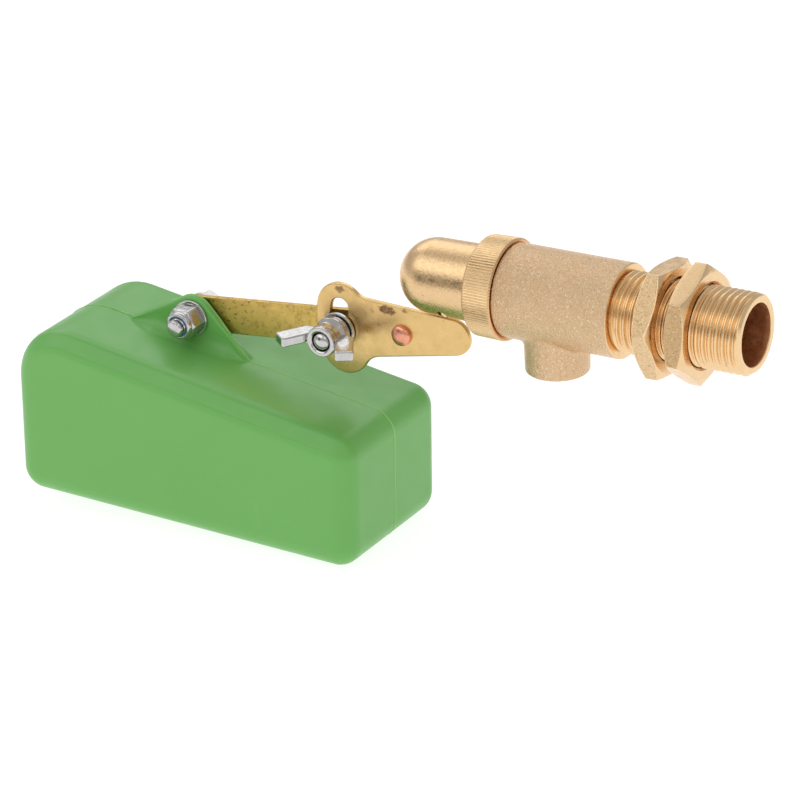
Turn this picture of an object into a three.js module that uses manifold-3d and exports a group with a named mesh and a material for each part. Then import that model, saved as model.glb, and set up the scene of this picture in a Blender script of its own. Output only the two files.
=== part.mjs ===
// Brass float valve: side outlet, domed cap, adjustable lever arm and hollow plastic float.
// Millimetres. The origin is the centre of the inlet end face, +X points out of the inlet along
// the valve's axis, +Z is up, and the lever and float work in the XZ plane.
import * as THREE from 'three';
import { mergeVertices } from 'three/addons/utils/BufferGeometryUtils.js';
import Module from 'manifold-3d';

const wasm = await Module();
wasm.setup();

// ---------------------------------------------------------------- driving dimensions
const GAP = 0.3;
const ROUND = 40;
const SMALL_ROUND = 20;

// Valve body, along the valve axis from the inlet face
const STEM_R = 10.48;
const STEM_END = -35.6;
const INLET_BORE_R = 8.0;
const INLET_BORE_END = -43.0;
const BARREL_R = 12.25;
const BARREL_END = -73.3;
const RING_THREAD_START = -69.0;
const RING_THREAD_R = 11.9;
const CHAMBER_R = 9.5;
const CHAMBER_WALL = -46.9;
const SEAT_FACE = -49.2;
const ORIFICE_R = 4.0;
const SPOUT_X = -56.3;
const SPOUT_R = 8.3;
const SPOUT_ROOT_R = 8.6;
const SPOUT_BORE_R = 6.3;
const SPOUT_END = -19.7;

// Lock nuts on the stem
const LOCK_NUT_FLATS = 27.4;
const LOCK_NUT_THICK = 5.4;
const LOCK_NUT_CHAMFER = 1.15;
const LOCK_NUT_FACE_R = 13.5;
const OUTER_NUT_X = -16.1;
const INNER_NUT_X = -24.85;
const OUTER_NUT_TURN = -7.9;
const INNER_NUT_TURN = 26.1;

// Ring nut and domed cap
const RING_RIGHT = -68.3;
const RING_LEFT = -76.7;
const RING_R = 13.4;
const RING_LEFT_R = 13.1;
const RING_LIP = 1.3;
const RING_MOUTH_R = 12.75;
const CAP_ROOT_R = 10.15;
const CAP_R = 9.92;
const CAP_WALL = 1.5;
const CAP_FLANGE_R = 11.7;
const CAP_FLANGE = 1.5;
const CAP_DOME_X = -90.5;
const CAP_SLOT_WIDTH = 2.1;
const CAP_SLOT_START = -80.4;
const CAP_SLOT_TOP = -3.0;

// Pivot pin across the cap
const PIVOT_X = -86.0;
const PIVOT_Z = -7.6;
const PIN_R = 1.05;
const PIN_HOLE_R = 1.4;
const PIN_HALF_LENGTH = 5.8;

// Piston, drawn with the valve open
const STROKE = 2.98;
const PISTON_GUIDE_R = 9.2;
const PISTON_GUIDE_FRONT = -66.4;
const PISTON_GUIDE_LENGTH = 4.6;
const PISTON_STEM_R = 3.0;
const PISTON_HEAD_R = 6.6;
const PISTON_TAIL_R = 3.5;
const PISTON_TAIL_END = -92.6;
const SEAL_R = 5.4;
const SEAL_THICK = 2.4;
const SEAL_STANDS_OUT = 0.7;
const HEAD_LENGTH = 4.0;
const O_RING_R = 9.4;
const O_RING_GROOVE_R = 7.5;
const O_RING_GROOVE = 2.2;

// Lever plate: hinge rivet, arc slot about the rivet, tapered shank and actuating finger
const LEVER_THICK = 1.5;
const RIVET_X = -101.8;
const RIVET_Z = -18.3;
const LEVER_TILT = 4.3;
const RIVET_HOLE_R = 2.3;
const ARC_R = 19.2;
const ARC_HALF_ANGLE = 19;
const ARC_HALF_WIDTH = 2.7;
const HOOK_LOBE_R = 6.8;
const SHANK_CENTRE = 0.85;
const SHANK_HALF = 6.9;
const SHANK_TAPER = 0.12;
const SHANK_END = 15.3;
const HOOK_FILLET = 6.0;
const FINGER_LENGTH = 7.8;
const FINGER_LEAN = 11;
const FINGER_HUB_R = 3.1;
const FINGER_NECK = 3.0;
const FINGER_TIP_R = 2.2;
const MORTISE_LENGTH = 4.8;

// Arm bar behind the lever plate
const BAR_THICK = 1.5;
const BAR_WIDTH = 10.0;
const FLOAT_BOLT_X = -166.4;
const FLOAT_BOLT_Z = -24.5;
const BOLT_HOLE_R = 2.8;

// Rivet and M5 fasteners
const RIVET_R = 2.0;
const RIVET_HEAD_R = 2.95;
const RIVET_HEAD = 1.35;
const BOLT_R = 2.4;
const HEX_FLATS = 8.0;
const HEAD_THICK = 3.5;
const WASHER_R = 5.0;
const WASHER_THICK = 1.0;
const SPRING_WASHER_R = 4.4;
const SPRING_WASHER_THICK = 1.3;
const FASTENER_HOLE_R = 2.7;

// Wing nut
const WING_NUT_LENGTH = 6.4;
const WING_NUT_BASE_R = 4.7;
const WING_NUT_NECK_R = 3.6;
const WING_NUT_RIM_R = 4.2;
const WING_THICK = 2.4;
const WING_REACH = 11.4;
const WING_RISE = 5.5;
const WING_TURN = 3.3;

// Float
const FLOAT_X = -211.8;
const FLOAT_Y = -1.3;
const FLOAT_Z = -74.4;
const FLOAT_PITCH = 2.1;
const FLOAT_LENGTH = 105.6;
const FLOAT_TALL = 50.4;
const FLOAT_SHORT = 36.7;
const FLOAT_WIDTH = 46.0;
const FLOAT_EDGE = 5.5;
const FLOAT_CORNER = 6.5;
const FLOAT_REAR_CORNER = 14.9;
const FLOAT_WALL = 1.6;
const LUG_FORE = 0.6;
const LUG_AFT = 2.0;
const LUG_TIP_R = 6.0;
const LUG_LEFT = 24.0;
const LUG_RIGHT = 61.0;
const PLUG_HEIGHT = 26.0;
const PLUG_R = 1.8;
const PLUG_HEAD_R = 3.4;
const PLUG_HEAD = 0.9;

// Float lock nut with its collar and nylon ring
const FLOAT_NUT_HEX = 4.4;
const COLLAR_R = 3.8;
const COLLAR = 1.1;
const INSERT_R = 3.05;
const FLOAT_BOLT_END = -11.0;

// ---------------------------------------------------------------- stations worked out
const LEVER_FRONT = -LEVER_THICK / 2;
const BAR_FRONT = LEVER_THICK / 2 + GAP;
const BAR_BACK = BAR_FRONT + BAR_THICK;
const LUG_FRONT = FLOAT_Y - LUG_FORE;
const ARM_RUN = FLOAT_BOLT_X - RIVET_X;
const ARM_RISE = FLOAT_BOLT_Z - RIVET_Z;
const ARM_LENGTH = Math.hypot(ARM_RUN, ARM_RISE);
const ARM_TILT = Math.atan2(-ARM_RISE, -ARM_RUN);
const WING_BOLT_X = RIVET_X - ARC_R * Math.cos(ARM_TILT);
const WING_BOLT_Z = RIVET_Z - ARC_R * Math.sin(ARM_TILT);

// ---------------------------------------------------------------- materials
function metal(colour, roughness) {
  return new THREE.MeshStandardMaterial({ color: colour, roughness, metalness: 1 });
}

function plastic(colour, roughness) {
  return new THREE.MeshStandardMaterial({ color: colour, roughness, metalness: 0 });
}

const castBrass = () => metal('#cda678', 0.5);
const turnedBrass = () => metal('#c9ab6b', 0.25);
const sheetBrass = () => metal('#bd9d52', 0.32);
const dullBrass = () => metal('#9c8743', 0.5);
const copper = () => metal('#c4714f', 0.3);
const zincSteel = () => metal('#b9b8b6', 0.3);
const greenPlastic = () => plastic('#6fb160', 0.45);
const bluePlastic = () => plastic('#3f76a3', 0.4);
const blackRubber = () => plastic('#1d1d1d', 0.8);

// ---------------------------------------------------------------- solids
const radians = THREE.MathUtils.degToRad;

function solid(geometry) {
  const bare = geometry.clone();
  bare.deleteAttribute('normal');
  bare.deleteAttribute('uv');
  const merged = mergeVertices(bare, 1e-4);
  const corners = merged.index.array;
  const triangles = [];
  for (let i = 0; i < corners.length; i += 3) {
    const [a, b, c] = corners.slice(i, i + 3);
    if (a !== b && b !== c && c !== a) {
      triangles.push(a, b, c);
    }
  }
  const mesh = new wasm.Mesh({
    numProp: 3,
    vertProperties: new Float32Array(merged.attributes.position.array),
    triVerts: new Uint32Array(triangles),
  });
  return new wasm.Manifold(mesh);
}

function geometryOf(manifold) {
  const mesh = manifold.getMesh();
  const geometry = new THREE.BufferGeometry();
  geometry.setAttribute('position', new THREE.BufferAttribute(mesh.vertProperties, 3));
  geometry.setIndex(new THREE.BufferAttribute(mesh.triVerts, 1));
  geometry.computeVertexNormals();
  return geometry;
}

// A solid of revolution about Y from [station, radius] pairs, given anticlockwise or clockwise.
function turnedY(profile, segments = ROUND) {
  let area = 0;
  profile.forEach(([station, radius], i) => {
    const [nextStation, nextRadius] = profile[(i + 1) % profile.length];
    area += radius * nextStation - nextRadius * station;
  });
  const ordered = area > 0 ? profile : [...profile].reverse();
  const points = ordered.map(([station, radius]) => new THREE.Vector2(radius, station));
  const onAxis = points[0].x === 0 && points[points.length - 1].x === 0;
  if (!onAxis) {
    points.push(points[0].clone());
  }
  return solid(new THREE.LatheGeometry(points, segments));
}

function turnedX(profile, segments = ROUND) {
  return turnedY(profile, segments).rotate([0, 0, -90]);
}

// Quarter-round profile stations on a dome about the axis, ending at the tip.
function domeStations(centre, radius, direction, steps) {
  const stations = [];
  for (let i = 0; i <= steps; i += 1) {
    const angle = (Math.PI / 2) * (i / steps);
    const reach = i === steps ? 0 : radius * Math.cos(angle);
    stations.push([centre + direction * radius * Math.sin(angle), reach]);
  }
  return stations;
}

function cylinderY(radius, low, high, x = 0, z = 0, segments = SMALL_ROUND) {
  const geometry = new THREE.CylinderGeometry(radius, radius, high - low, segments);
  geometry.translate(x, (low + high) / 2, z);
  return solid(geometry);
}

function cylinderX(radius, low, high, segments = SMALL_ROUND) {
  return cylinderY(radius, low, high, 0, 0, segments).rotate([0, 0, -90]);
}

function box(low, high) {
  const size = high.map((value, axis) => value - low[axis]);
  const geometry = new THREE.BoxGeometry(...size);
  geometry.translate(...high.map((value, axis) => (value + low[axis]) / 2));
  return solid(geometry);
}

// A shape drawn in the XZ plane and extruded from y = front to y = back.
function plateSolid(shape, front, back) {
  const settings = { depth: back - front, bevelEnabled: false, curveSegments: 10 };
  const geometry = new THREE.ExtrudeGeometry(shape, settings);
  geometry.rotateX(Math.PI / 2);
  geometry.translate(0, back, 0);
  return solid(geometry);
}

// A hexagonal prism along Y with a corner on +Z before it is turned.
function hexY(flats, low, high) {
  return cylinderY(flats / Math.sqrt(3), low, high, 0, 0, 6);
}

function discShape(x, z, radius) {
  const shape = new THREE.Shape();
  shape.absarc(x, z, radius, 0, 2 * Math.PI, false);
  return shape;
}

const model = new THREE.Group();

function place(group, name, manifold, material) {
  const mesh = new THREE.Mesh(geometryOf(manifold), material);
  mesh.name = name;
  group.add(mesh);
  return mesh;
}

function groupAt(x, y, z, tilt = 0) {
  const group = new THREE.Group();
  group.position.set(x, y, z);
  group.rotation.y = -tilt;
  model.add(group);
  return group;
}

// ---------------------------------------------------------------- valve body
function valveBody() {
  const barrel = turnedX([
    [0, INLET_BORE_R + 0.4],
    [0, STEM_R - 0.9],
    [-0.9, STEM_R],
    [STEM_END, STEM_R],
    [STEM_END, BARREL_R],
    [RING_THREAD_START, BARREL_R],
    [RING_THREAD_START, RING_THREAD_R],
    [BARREL_END, RING_THREAD_R],
    [BARREL_END, CHAMBER_R],
    [CHAMBER_WALL, CHAMBER_R],
    [CHAMBER_WALL, ORIFICE_R + 1.6],
    [SEAT_FACE, ORIFICE_R + 1.2],
    [SEAT_FACE, ORIFICE_R],
    [INLET_BORE_END, ORIFICE_R],
    [INLET_BORE_END, INLET_BORE_R],
    [-0.4, INLET_BORE_R],
  ]);
  const spoutHeight = -SPOUT_END;
  const spoutGeometry = new THREE.CylinderGeometry(SPOUT_ROOT_R, SPOUT_R, spoutHeight, ROUND);
  spoutGeometry.rotateX(Math.PI / 2);
  spoutGeometry.translate(SPOUT_X, 0, SPOUT_END + spoutHeight / 2);
  const chamber = cylinderX(CHAMBER_R, BARREL_END, CHAMBER_WALL, ROUND);
  const spout = solid(spoutGeometry).subtract(chamber);
  const boreGeometry = new THREE.CylinderGeometry(SPOUT_BORE_R, SPOUT_BORE_R, spoutHeight + 1, ROUND);
  boreGeometry.rotateX(Math.PI / 2);
  boreGeometry.translate(SPOUT_X, 0, SPOUT_END + (spoutHeight + 1) / 2 - 1);
  const throughSeat = box([CHAMBER_WALL - 0.1, -CHAMBER_R, -BARREL_R], [0, CHAMBER_R, 0]);
  const spoutTrimmed = spout.subtract(throughSeat);
  return barrel.add(spoutTrimmed).subtract(solid(boreGeometry));
}

// ---------------------------------------------------------------- lock nuts
function lockNut() {
  const half = LOCK_NUT_THICK / 2;
  const corner = LOCK_NUT_FLATS / Math.sqrt(3);
  const envelope = turnedX([
    [half, 0],
    [half, LOCK_NUT_FACE_R],
    [half - LOCK_NUT_CHAMFER, corner + 0.05],
    [-half + LOCK_NUT_CHAMFER, corner + 0.05],
    [-half, LOCK_NUT_FACE_R],
    [-half, 0],
  ]);
  const prism = hexY(LOCK_NUT_FLATS, -half, half).rotate([0, 0, -90]);
  const bore = cylinderX(STEM_R + GAP, -half - 1, half + 1, ROUND);
  return prism.intersect(envelope).subtract(bore);
}

// ---------------------------------------------------------------- ring nut, cap and pin
function ringNut() {
  return turnedX([
    [RING_RIGHT, RING_MOUTH_R],
    [RING_RIGHT, RING_R - 0.3],
    [RING_RIGHT - 0.3, RING_R],
    [RING_LEFT + 0.5, RING_LEFT_R + 0.1],
    [RING_LEFT, RING_LEFT_R - 0.4],
    [RING_LEFT, CAP_ROOT_R + GAP],
    [RING_LEFT + RING_LIP, CAP_ROOT_R + GAP],
    [RING_LEFT + RING_LIP, RING_THREAD_R + GAP],
    [RING_THREAD_START - GAP, RING_THREAD_R + GAP],
    [RING_THREAD_START - GAP, RING_MOUTH_R],
  ]);
}

function domeCap() {
  const flangeRight = BARREL_END - GAP;
  const flangeLeft = flangeRight - CAP_FLANGE;
  const innerR = CAP_R - CAP_WALL;
  const outside = turnedX([
    [flangeRight, 0],
    [flangeRight, CAP_FLANGE_R],
    [flangeLeft, CAP_FLANGE_R],
    [flangeLeft, CAP_ROOT_R],
    ...domeStations(CAP_DOME_X, CAP_R, -1, 8),
  ]);
  const inside = turnedX([
    [flangeRight + 1, 0],
    [flangeRight + 1, innerR],
    ...domeStations(CAP_DOME_X, innerR, -1, 6),
  ]);
  const halfSlot = CAP_SLOT_WIDTH / 2;
  const slotLow = [CAP_DOME_X - CAP_R - 1, -halfSlot, -CAP_R - 1];
  const slot = box(slotLow, [CAP_SLOT_START, halfSlot, CAP_SLOT_TOP]);
  const pinHole = cylinderY(PIN_HOLE_R, -CAP_R, CAP_R, PIVOT_X, PIVOT_Z);
  return outside.subtract(inside).subtract(slot).subtract(pinHole);
}

function pivotPin() {
  return cylinderY(PIN_R, -PIN_HALF_LENGTH, PIN_HALF_LENGTH);
}

// ---------------------------------------------------------------- piston
function piston() {
  const guideBack = PISTON_GUIDE_FRONT - PISTON_GUIDE_LENGTH;
  const grooveFront = PISTON_GUIDE_FRONT - (PISTON_GUIDE_LENGTH - O_RING_GROOVE) / 2;
  const headFront = SEAT_FACE - STROKE - GAP - SEAL_STANDS_OUT;
  const headBack = headFront - HEAD_LENGTH;
  const pocket = headFront - (SEAL_THICK - SEAL_STANDS_OUT) - GAP;
  const body = turnedX([
    [pocket, 0],
    [pocket, SEAL_R + GAP],
    [headFront, SEAL_R + GAP],
    [headFront, PISTON_HEAD_R],
    [headBack, PISTON_HEAD_R],
    [headBack - 1.5, PISTON_STEM_R],
    [PISTON_GUIDE_FRONT, PISTON_STEM_R],
    [PISTON_GUIDE_FRONT, PISTON_GUIDE_R],
    [grooveFront, PISTON_GUIDE_R],
    [grooveFront, O_RING_GROOVE_R],
    [grooveFront - O_RING_GROOVE, O_RING_GROOVE_R],
    [grooveFront - O_RING_GROOVE, PISTON_GUIDE_R],
    [guideBack, PISTON_GUIDE_R],
    [guideBack, PISTON_TAIL_R],
    [PISTON_TAIL_END + 0.6, PISTON_TAIL_R],
    [PISTON_TAIL_END, PISTON_TAIL_R - 0.6],
    [PISTON_TAIL_END, 0],
  ], 36);
  const lean = radians(FINGER_LEAN);
  const tipX = PIVOT_X - FINGER_LENGTH * Math.sin(lean);
  const halfSlot = CAP_SLOT_WIDTH / 2;
  const low = [tipX - MORTISE_LENGTH / 2, -halfSlot, -PISTON_TAIL_R - 1];
  const high = [tipX + MORTISE_LENGTH / 2, halfSlot, PISTON_TAIL_R + 1];
  return body.subtract(box(low, high));
}

function pistonSeal() {
  const front = SEAT_FACE - STROKE - GAP;
  return cylinderX(SEAL_R, front - SEAL_THICK, front, 36);
}

function pistonORing() {
  const groove = PISTON_GUIDE_FRONT - (PISTON_GUIDE_LENGTH - O_RING_GROOVE) / 2;
  const front = groove - GAP;
  const back = groove - O_RING_GROOVE + GAP;
  const inner = O_RING_GROOVE_R + GAP;
  return turnedX([
    [front, inner + 0.3],
    [front, O_RING_R - 0.3],
    [front - 0.4, O_RING_R],
    [back + 0.4, O_RING_R],
    [back, O_RING_R - 0.3],
    [back, inner + 0.3],
    [back + 0.4, inner],
    [front - 0.4, inner],
  ], 36);
}

// ---------------------------------------------------------------- lever plate
// Drawn about the rivet, with the lever's own axis along the sheet's first direction.
function aboutRivet(x, z) {
  const tilt = radians(LEVER_TILT);
  const across = x - RIVET_X;
  const up = z - RIVET_Z;
  const along = across * Math.cos(tilt) + up * Math.sin(tilt);
  const above = -across * Math.sin(tilt) + up * Math.cos(tilt);
  return new THREE.Vector2(along, above);
}

// The concave fillet between a hook lobe and a shank edge, on the side given by sign.
function hookFillet(sign) {
  const slope = -sign * SHANK_TAPER;
  const along = new THREE.Vector2(1, slope).normalize();
  const outward = new THREE.Vector2(-along.y, along.x).multiplyScalar(sign);
  const onEdge = new THREE.Vector2(0, SHANK_CENTRE + sign * SHANK_HALF);
  const arc = radians(ARC_HALF_ANGLE);
  const lobe = new THREE.Vector2(-ARC_R * Math.cos(arc), sign * ARC_R * Math.sin(arc));
  const offset = onEdge.clone().addScaledVector(outward, HOOK_FILLET).sub(lobe);
  const reach = HOOK_LOBE_R + HOOK_FILLET;
  const alongOffset = offset.dot(along);
  const run = -alongOffset + Math.sqrt(reach ** 2 - offset.lengthSq() + alongOffset ** 2);
  const centre = lobe.clone().add(offset).addScaledVector(along, run);
  const toLobe = lobe.clone().sub(centre);
  return { centre, lobe, outward, toLobe };
}

function leverOutline() {
  const top = hookFillet(1);
  const bottom = hookFillet(-1);
  const arc = radians(ARC_HALF_ANGLE);
  const outerR = ARC_R + HOOK_LOBE_R;
  const endHalf = SHANK_HALF - SHANK_TAPER * SHANK_END;
  const edgeAngle = Math.atan(SHANK_TAPER);
  const endR = endHalf * Math.cos(edgeAngle);
  const angleOf = (v) => Math.atan2(v.y, v.x);
  const shape = new THREE.Shape();
  const quarter = Math.PI / 2;
  shape.absarc(SHANK_END, SHANK_CENTRE, endR, -quarter + edgeAngle, quarter - edgeAngle, false);
  const topEdge = angleOf(top.outward.clone().negate());
  shape.absarc(top.centre.x, top.centre.y, HOOK_FILLET, topEdge, angleOf(top.toLobe), true);
  const fromTop = angleOf(top.toLobe.clone().negate());
  shape.absarc(top.lobe.x, top.lobe.y, HOOK_LOBE_R, fromTop, Math.PI - arc, false);
  shape.absarc(0, 0, outerR, Math.PI - arc, Math.PI + arc, false);
  const toBottom = angleOf(bottom.toLobe.clone().negate());
  shape.absarc(bottom.lobe.x, bottom.lobe.y, HOOK_LOBE_R, Math.PI + arc, toBottom, false);
  const bottomEdge = angleOf(bottom.outward.clone().negate());
  shape.absarc(bottom.centre.x, bottom.centre.y, HOOK_FILLET, angleOf(bottom.toLobe), bottomEdge, true);
  return shape;
}

function arcSlot() {
  const arc = radians(ARC_HALF_ANGLE);
  const shape = new THREE.Shape();
  const upper = Math.PI - arc;
  const lower = Math.PI + arc;
  shape.absarc(0, 0, ARC_R + ARC_HALF_WIDTH, upper, lower, false);
  const lowX = ARC_R * Math.cos(lower);
  const lowZ = ARC_R * Math.sin(lower);
  shape.absarc(lowX, lowZ, ARC_HALF_WIDTH, lower, lower + Math.PI, false);
  shape.absarc(0, 0, ARC_R - ARC_HALF_WIDTH, lower, upper, true);
  const highX = ARC_R * Math.cos(upper);
  const highZ = ARC_R * Math.sin(upper);
  shape.absarc(highX, highZ, ARC_HALF_WIDTH, upper + Math.PI, upper + 2 * Math.PI, false);
  return shape;
}

function leverFinger() {
  const hub = aboutRivet(PIVOT_X, PIVOT_Z);
  const lean = radians(FINGER_LEAN);
  const tipX = PIVOT_X - FINGER_LENGTH * Math.sin(lean);
  const tipZ = PIVOT_Z + FINGER_LENGTH * Math.cos(lean);
  const tip = aboutRivet(tipX, tipZ);
  const direction = tip.clone().sub(hub).normalize();
  const side = new THREE.Vector2(-direction.y, direction.x).multiplyScalar(FINGER_NECK / 2);
  const neck = new THREE.Shape();
  neck.moveTo(hub.x + side.x, hub.y + side.y);
  neck.lineTo(hub.x - side.x, hub.y - side.y);
  neck.lineTo(tip.x - side.x, tip.y - side.y);
  neck.lineTo(tip.x + side.x, tip.y + side.y);
  const root = new THREE.Shape();
  root.moveTo(hub.x - FINGER_HUB_R, SHANK_CENTRE + 2);
  root.lineTo(hub.x + FINGER_HUB_R, SHANK_CENTRE + 2);
  root.lineTo(hub.x + FINGER_HUB_R, hub.y);
  root.lineTo(hub.x - FINGER_HUB_R, hub.y);
  return [neck, root, discShape(hub.x, hub.y, FINGER_HUB_R), discShape(tip.x, tip.y, FINGER_TIP_R)];
}

function leverPlate() {
  const back = LEVER_THICK / 2;
  let plate = plateSolid(leverOutline(), -back, back);
  for (const shape of leverFinger()) {
    plate = plate.add(plateSolid(shape, -back, back));
  }
  const hub = aboutRivet(PIVOT_X, PIVOT_Z);
  const holes = [arcSlot(), discShape(0, 0, RIVET_HOLE_R), discShape(hub.x, hub.y, PIN_HOLE_R)];
  for (const hole of holes) {
    plate = plate.subtract(plateSolid(hole, -back - 1, back + 1));
  }
  return plate;
}

function leverRivet() {
  const front = LEVER_FRONT - GAP;
  const back = BAR_BACK + GAP;
  const rim = RIVET_HEAD_R * 0.72;
  return turnedY([
    [front - RIVET_HEAD, 0],
    [front - RIVET_HEAD, rim * 0.5],
    [front - RIVET_HEAD * 0.8, rim],
    [front - RIVET_HEAD * 0.3, RIVET_HEAD_R],
    [front, RIVET_HEAD_R],
    [front, RIVET_R],
    [back, RIVET_R],
    [back, RIVET_HEAD_R],
    [back + RIVET_HEAD * 0.3, RIVET_HEAD_R],
    [back + RIVET_HEAD * 0.8, rim],
    [back + RIVET_HEAD, rim * 0.5],
    [back + RIVET_HEAD, 0],
  ], SMALL_ROUND);
}

// ---------------------------------------------------------------- arm bar
// Drawn about the rivet, running towards the float.
function armBar() {
  const half = BAR_WIDTH / 2;
  const quarter = Math.PI / 2;
  const outline = new THREE.Shape();
  outline.absarc(0, 0, half, -quarter, quarter, false);
  outline.absarc(-ARM_LENGTH, 0, half, quarter, 3 * quarter, false);
  let bar = plateSolid(outline, BAR_FRONT, BAR_BACK);
  const holes = [
    discShape(0, 0, RIVET_HOLE_R),
    discShape(-ARC_R, 0, BOLT_HOLE_R),
    discShape(-ARM_LENGTH, 0, BOLT_HOLE_R),
  ];
  for (const hole of holes) {
    bar = bar.subtract(plateSolid(hole, BAR_FRONT - 1, BAR_BACK + 1));
  }
  return bar;
}

// ---------------------------------------------------------------- fasteners, drawn about their own axis
function washer(low, thickness, radius) {
  const ring = cylinderY(radius, low, low + thickness);
  return ring.subtract(cylinderY(FASTENER_HOLE_R, low - 1, low + thickness + 1));
}

function springWasher(low) {
  const ring = washer(low, SPRING_WASHER_THICK, SPRING_WASHER_R);
  const split = box([0, low - 1, -0.3], [SPRING_WASHER_R + 1, low + SPRING_WASHER_THICK + 1, 0.3]);
  return ring.subtract(split.rotate([0, 35, 0]));
}

// A hexagon bolt whose head sits at y = seat and whose end is a dome or a chamfer at y = end.
function hexBolt(seat, end, domed) {
  const head = hexY(HEX_FLATS, seat, seat + HEAD_THICK).rotate([0, 30, 0]);
  const corner = HEX_FLATS / Math.sqrt(3);
  const crown = turnedY([
    [seat - 0.1, 0],
    [seat - 0.1, corner + 0.1],
    [seat + HEAD_THICK - 0.7, corner + 0.1],
    [seat + HEAD_THICK, corner - 0.9],
    [seat + HEAD_THICK, 0],
  ], SMALL_ROUND);
  const endRise = domed ? 1.4 : 0.7;
  const endR = domed ? 1.0 : BOLT_R - 0.7;
  const shank = turnedY([
    [end, 0],
    [end, endR],
    [end + endRise * 0.35, domed ? 1.9 : endR + 0.35],
    [end + endRise, BOLT_R],
    [seat + 1, BOLT_R],
    [seat + 1, 0],
  ], SMALL_ROUND);
  return head.intersect(crown).add(shank);
}

function wingNut(seat) {
  const front = seat - WING_NUT_LENGTH;
  const boss = turnedY([
    [seat, 0],
    [seat, WING_NUT_BASE_R],
    [seat - 0.9, WING_NUT_BASE_R],
    [seat - 2.0, WING_NUT_NECK_R + 0.2],
    [front + 2.4, WING_NUT_NECK_R],
    [front + 1.6, WING_NUT_RIM_R],
    [front, WING_NUT_RIM_R - 0.1],
    [front, 0],
  ], SMALL_ROUND);
  const wing = new THREE.Shape();
  wing.moveTo(1.5, seat - 1.2);
  wing.quadraticCurveTo(6.4, seat - 1.8, 8.6, front + 1.4);
  wing.lineTo(WING_REACH, front - 1.8);
  wing.quadraticCurveTo(WING_REACH + 0.2, front - WING_RISE + 0.2, 9.6, front - WING_RISE + 0.4);
  wing.lineTo(7.8, front - WING_RISE);
  wing.quadraticCurveTo(6.6, front - 2.0, 4.6, front + 0.8);
  wing.lineTo(1.5, front + 1.8);
  const settings = { depth: WING_THICK, bevelEnabled: false, curveSegments: 6 };
  const right = solid(new THREE.ExtrudeGeometry(wing, settings).translate(0, 0, -WING_THICK / 2));
  const left = right.rotate([0, 180, 0]);
  const bore = cylinderY(FASTENER_HOLE_R, front - 1, seat + 1);
  return boss.add(right).add(left).subtract(bore);
}

function floatLockNut(seat) {
  const hexFront = seat - FLOAT_NUT_HEX;
  const front = hexFront - COLLAR;
  const corner = HEX_FLATS / Math.sqrt(3);
  const hex = hexY(HEX_FLATS, hexFront, seat);
  const crown = turnedY([
    [seat + 0.1, 0],
    [seat + 0.1, corner - 0.2],
    [seat - 0.4, corner + 0.1],
    [hexFront + 0.7, corner + 0.1],
    [hexFront, COLLAR_R + 0.1],
    [hexFront, 0],
  ], SMALL_ROUND);
  const collar = turnedY([
    [hexFront + 0.5, 0],
    [hexFront + 0.5, COLLAR_R],
    [front + 0.4, COLLAR_R],
    [front, COLLAR_R - 0.35],
    [front, 0],
  ], SMALL_ROUND);
  const bore = cylinderY(FASTENER_HOLE_R, front - 1, seat + 1);
  const pocket = cylinderY(INSERT_R + 0.25, front - 1, hexFront + 0.6);
  return hex.intersect(crown).add(collar).subtract(bore).subtract(pocket);
}

function nylonInsert(seat) {
  const back = seat - FLOAT_NUT_HEX + 0.3;
  const front = seat - FLOAT_NUT_HEX - COLLAR + 0.2;
  return cylinderY(INSERT_R, front, back).subtract(cylinderY(FASTENER_HOLE_R - 0.2, front - 1, back + 1));
}

// ---------------------------------------------------------------- float
// Drawn from the lower left corner of the float's side, along its base.
function floatSide(inset) {
  const rise = (FLOAT_SHORT - FLOAT_TALL) / FLOAT_LENGTH;
  const lowLeft = [inset, inset];
  const lowRight = [FLOAT_LENGTH - inset, inset];
  const slant = inset * Math.hypot(1, rise);
  const highRight = [FLOAT_LENGTH - inset, FLOAT_TALL + rise * (FLOAT_LENGTH - inset) - slant];
  const highLeft = [inset, FLOAT_TALL + rise * inset - slant];
  const corner = FLOAT_CORNER - inset;
  const radii = [corner, corner, corner, FLOAT_REAR_CORNER - inset];
  return roundedPolygon([lowLeft, lowRight, highRight, highLeft], radii);
}

function roundedPolygon(corners, radii) {
  const shape = new THREE.Shape();
  const points = corners.map(([a, b]) => new THREE.Vector2(a, b));
  points.forEach((corner, i) => {
    const radius = radii[i];
    const before = points[(i + points.length - 1) % points.length].clone().sub(corner).normalize();
    const after = points[(i + 1) % points.length].clone().sub(corner).normalize();
    const half = Math.acos(THREE.MathUtils.clamp(before.dot(after), -1, 1)) / 2;
    const run = radius / Math.tan(half);
    const bisector = before.clone().add(after).normalize();
    const centre = corner.clone().addScaledVector(bisector, radius / Math.sin(half));
    const start = corner.clone().addScaledVector(before, run).sub(centre);
    const end = corner.clone().addScaledVector(after, run).sub(centre);
    shape.absarc(centre.x, centre.y, radius, start.angle(), end.angle(), false);
  });
  return shape;
}

function floatBlock(inset) {
  const edge = FLOAT_EDGE - inset;
  const width = FLOAT_WIDTH - 2 * inset;
  const settings = {
    depth: width - 2 * edge,
    bevelEnabled: true,
    bevelThickness: edge,
    bevelSize: edge,
    bevelOffset: -edge,
    bevelSegments: 3,
    curveSegments: 4,
  };
  const geometry = new THREE.ExtrudeGeometry(floatSide(inset), settings);
  geometry.rotateX(Math.PI / 2);
  geometry.translate(0, (width - 2 * edge) / 2, 0);
  return solid(geometry);
}

// The float bolt's place in the float's own frame.
function floatBoltInFloat() {
  const pitch = radians(FLOAT_PITCH);
  const across = FLOAT_BOLT_X - FLOAT_X;
  const up = FLOAT_BOLT_Z - FLOAT_Z;
  const along = across * Math.cos(pitch) - up * Math.sin(pitch);
  const height = across * Math.sin(pitch) + up * Math.cos(pitch);
  return new THREE.Vector2(along, height);
}

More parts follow.
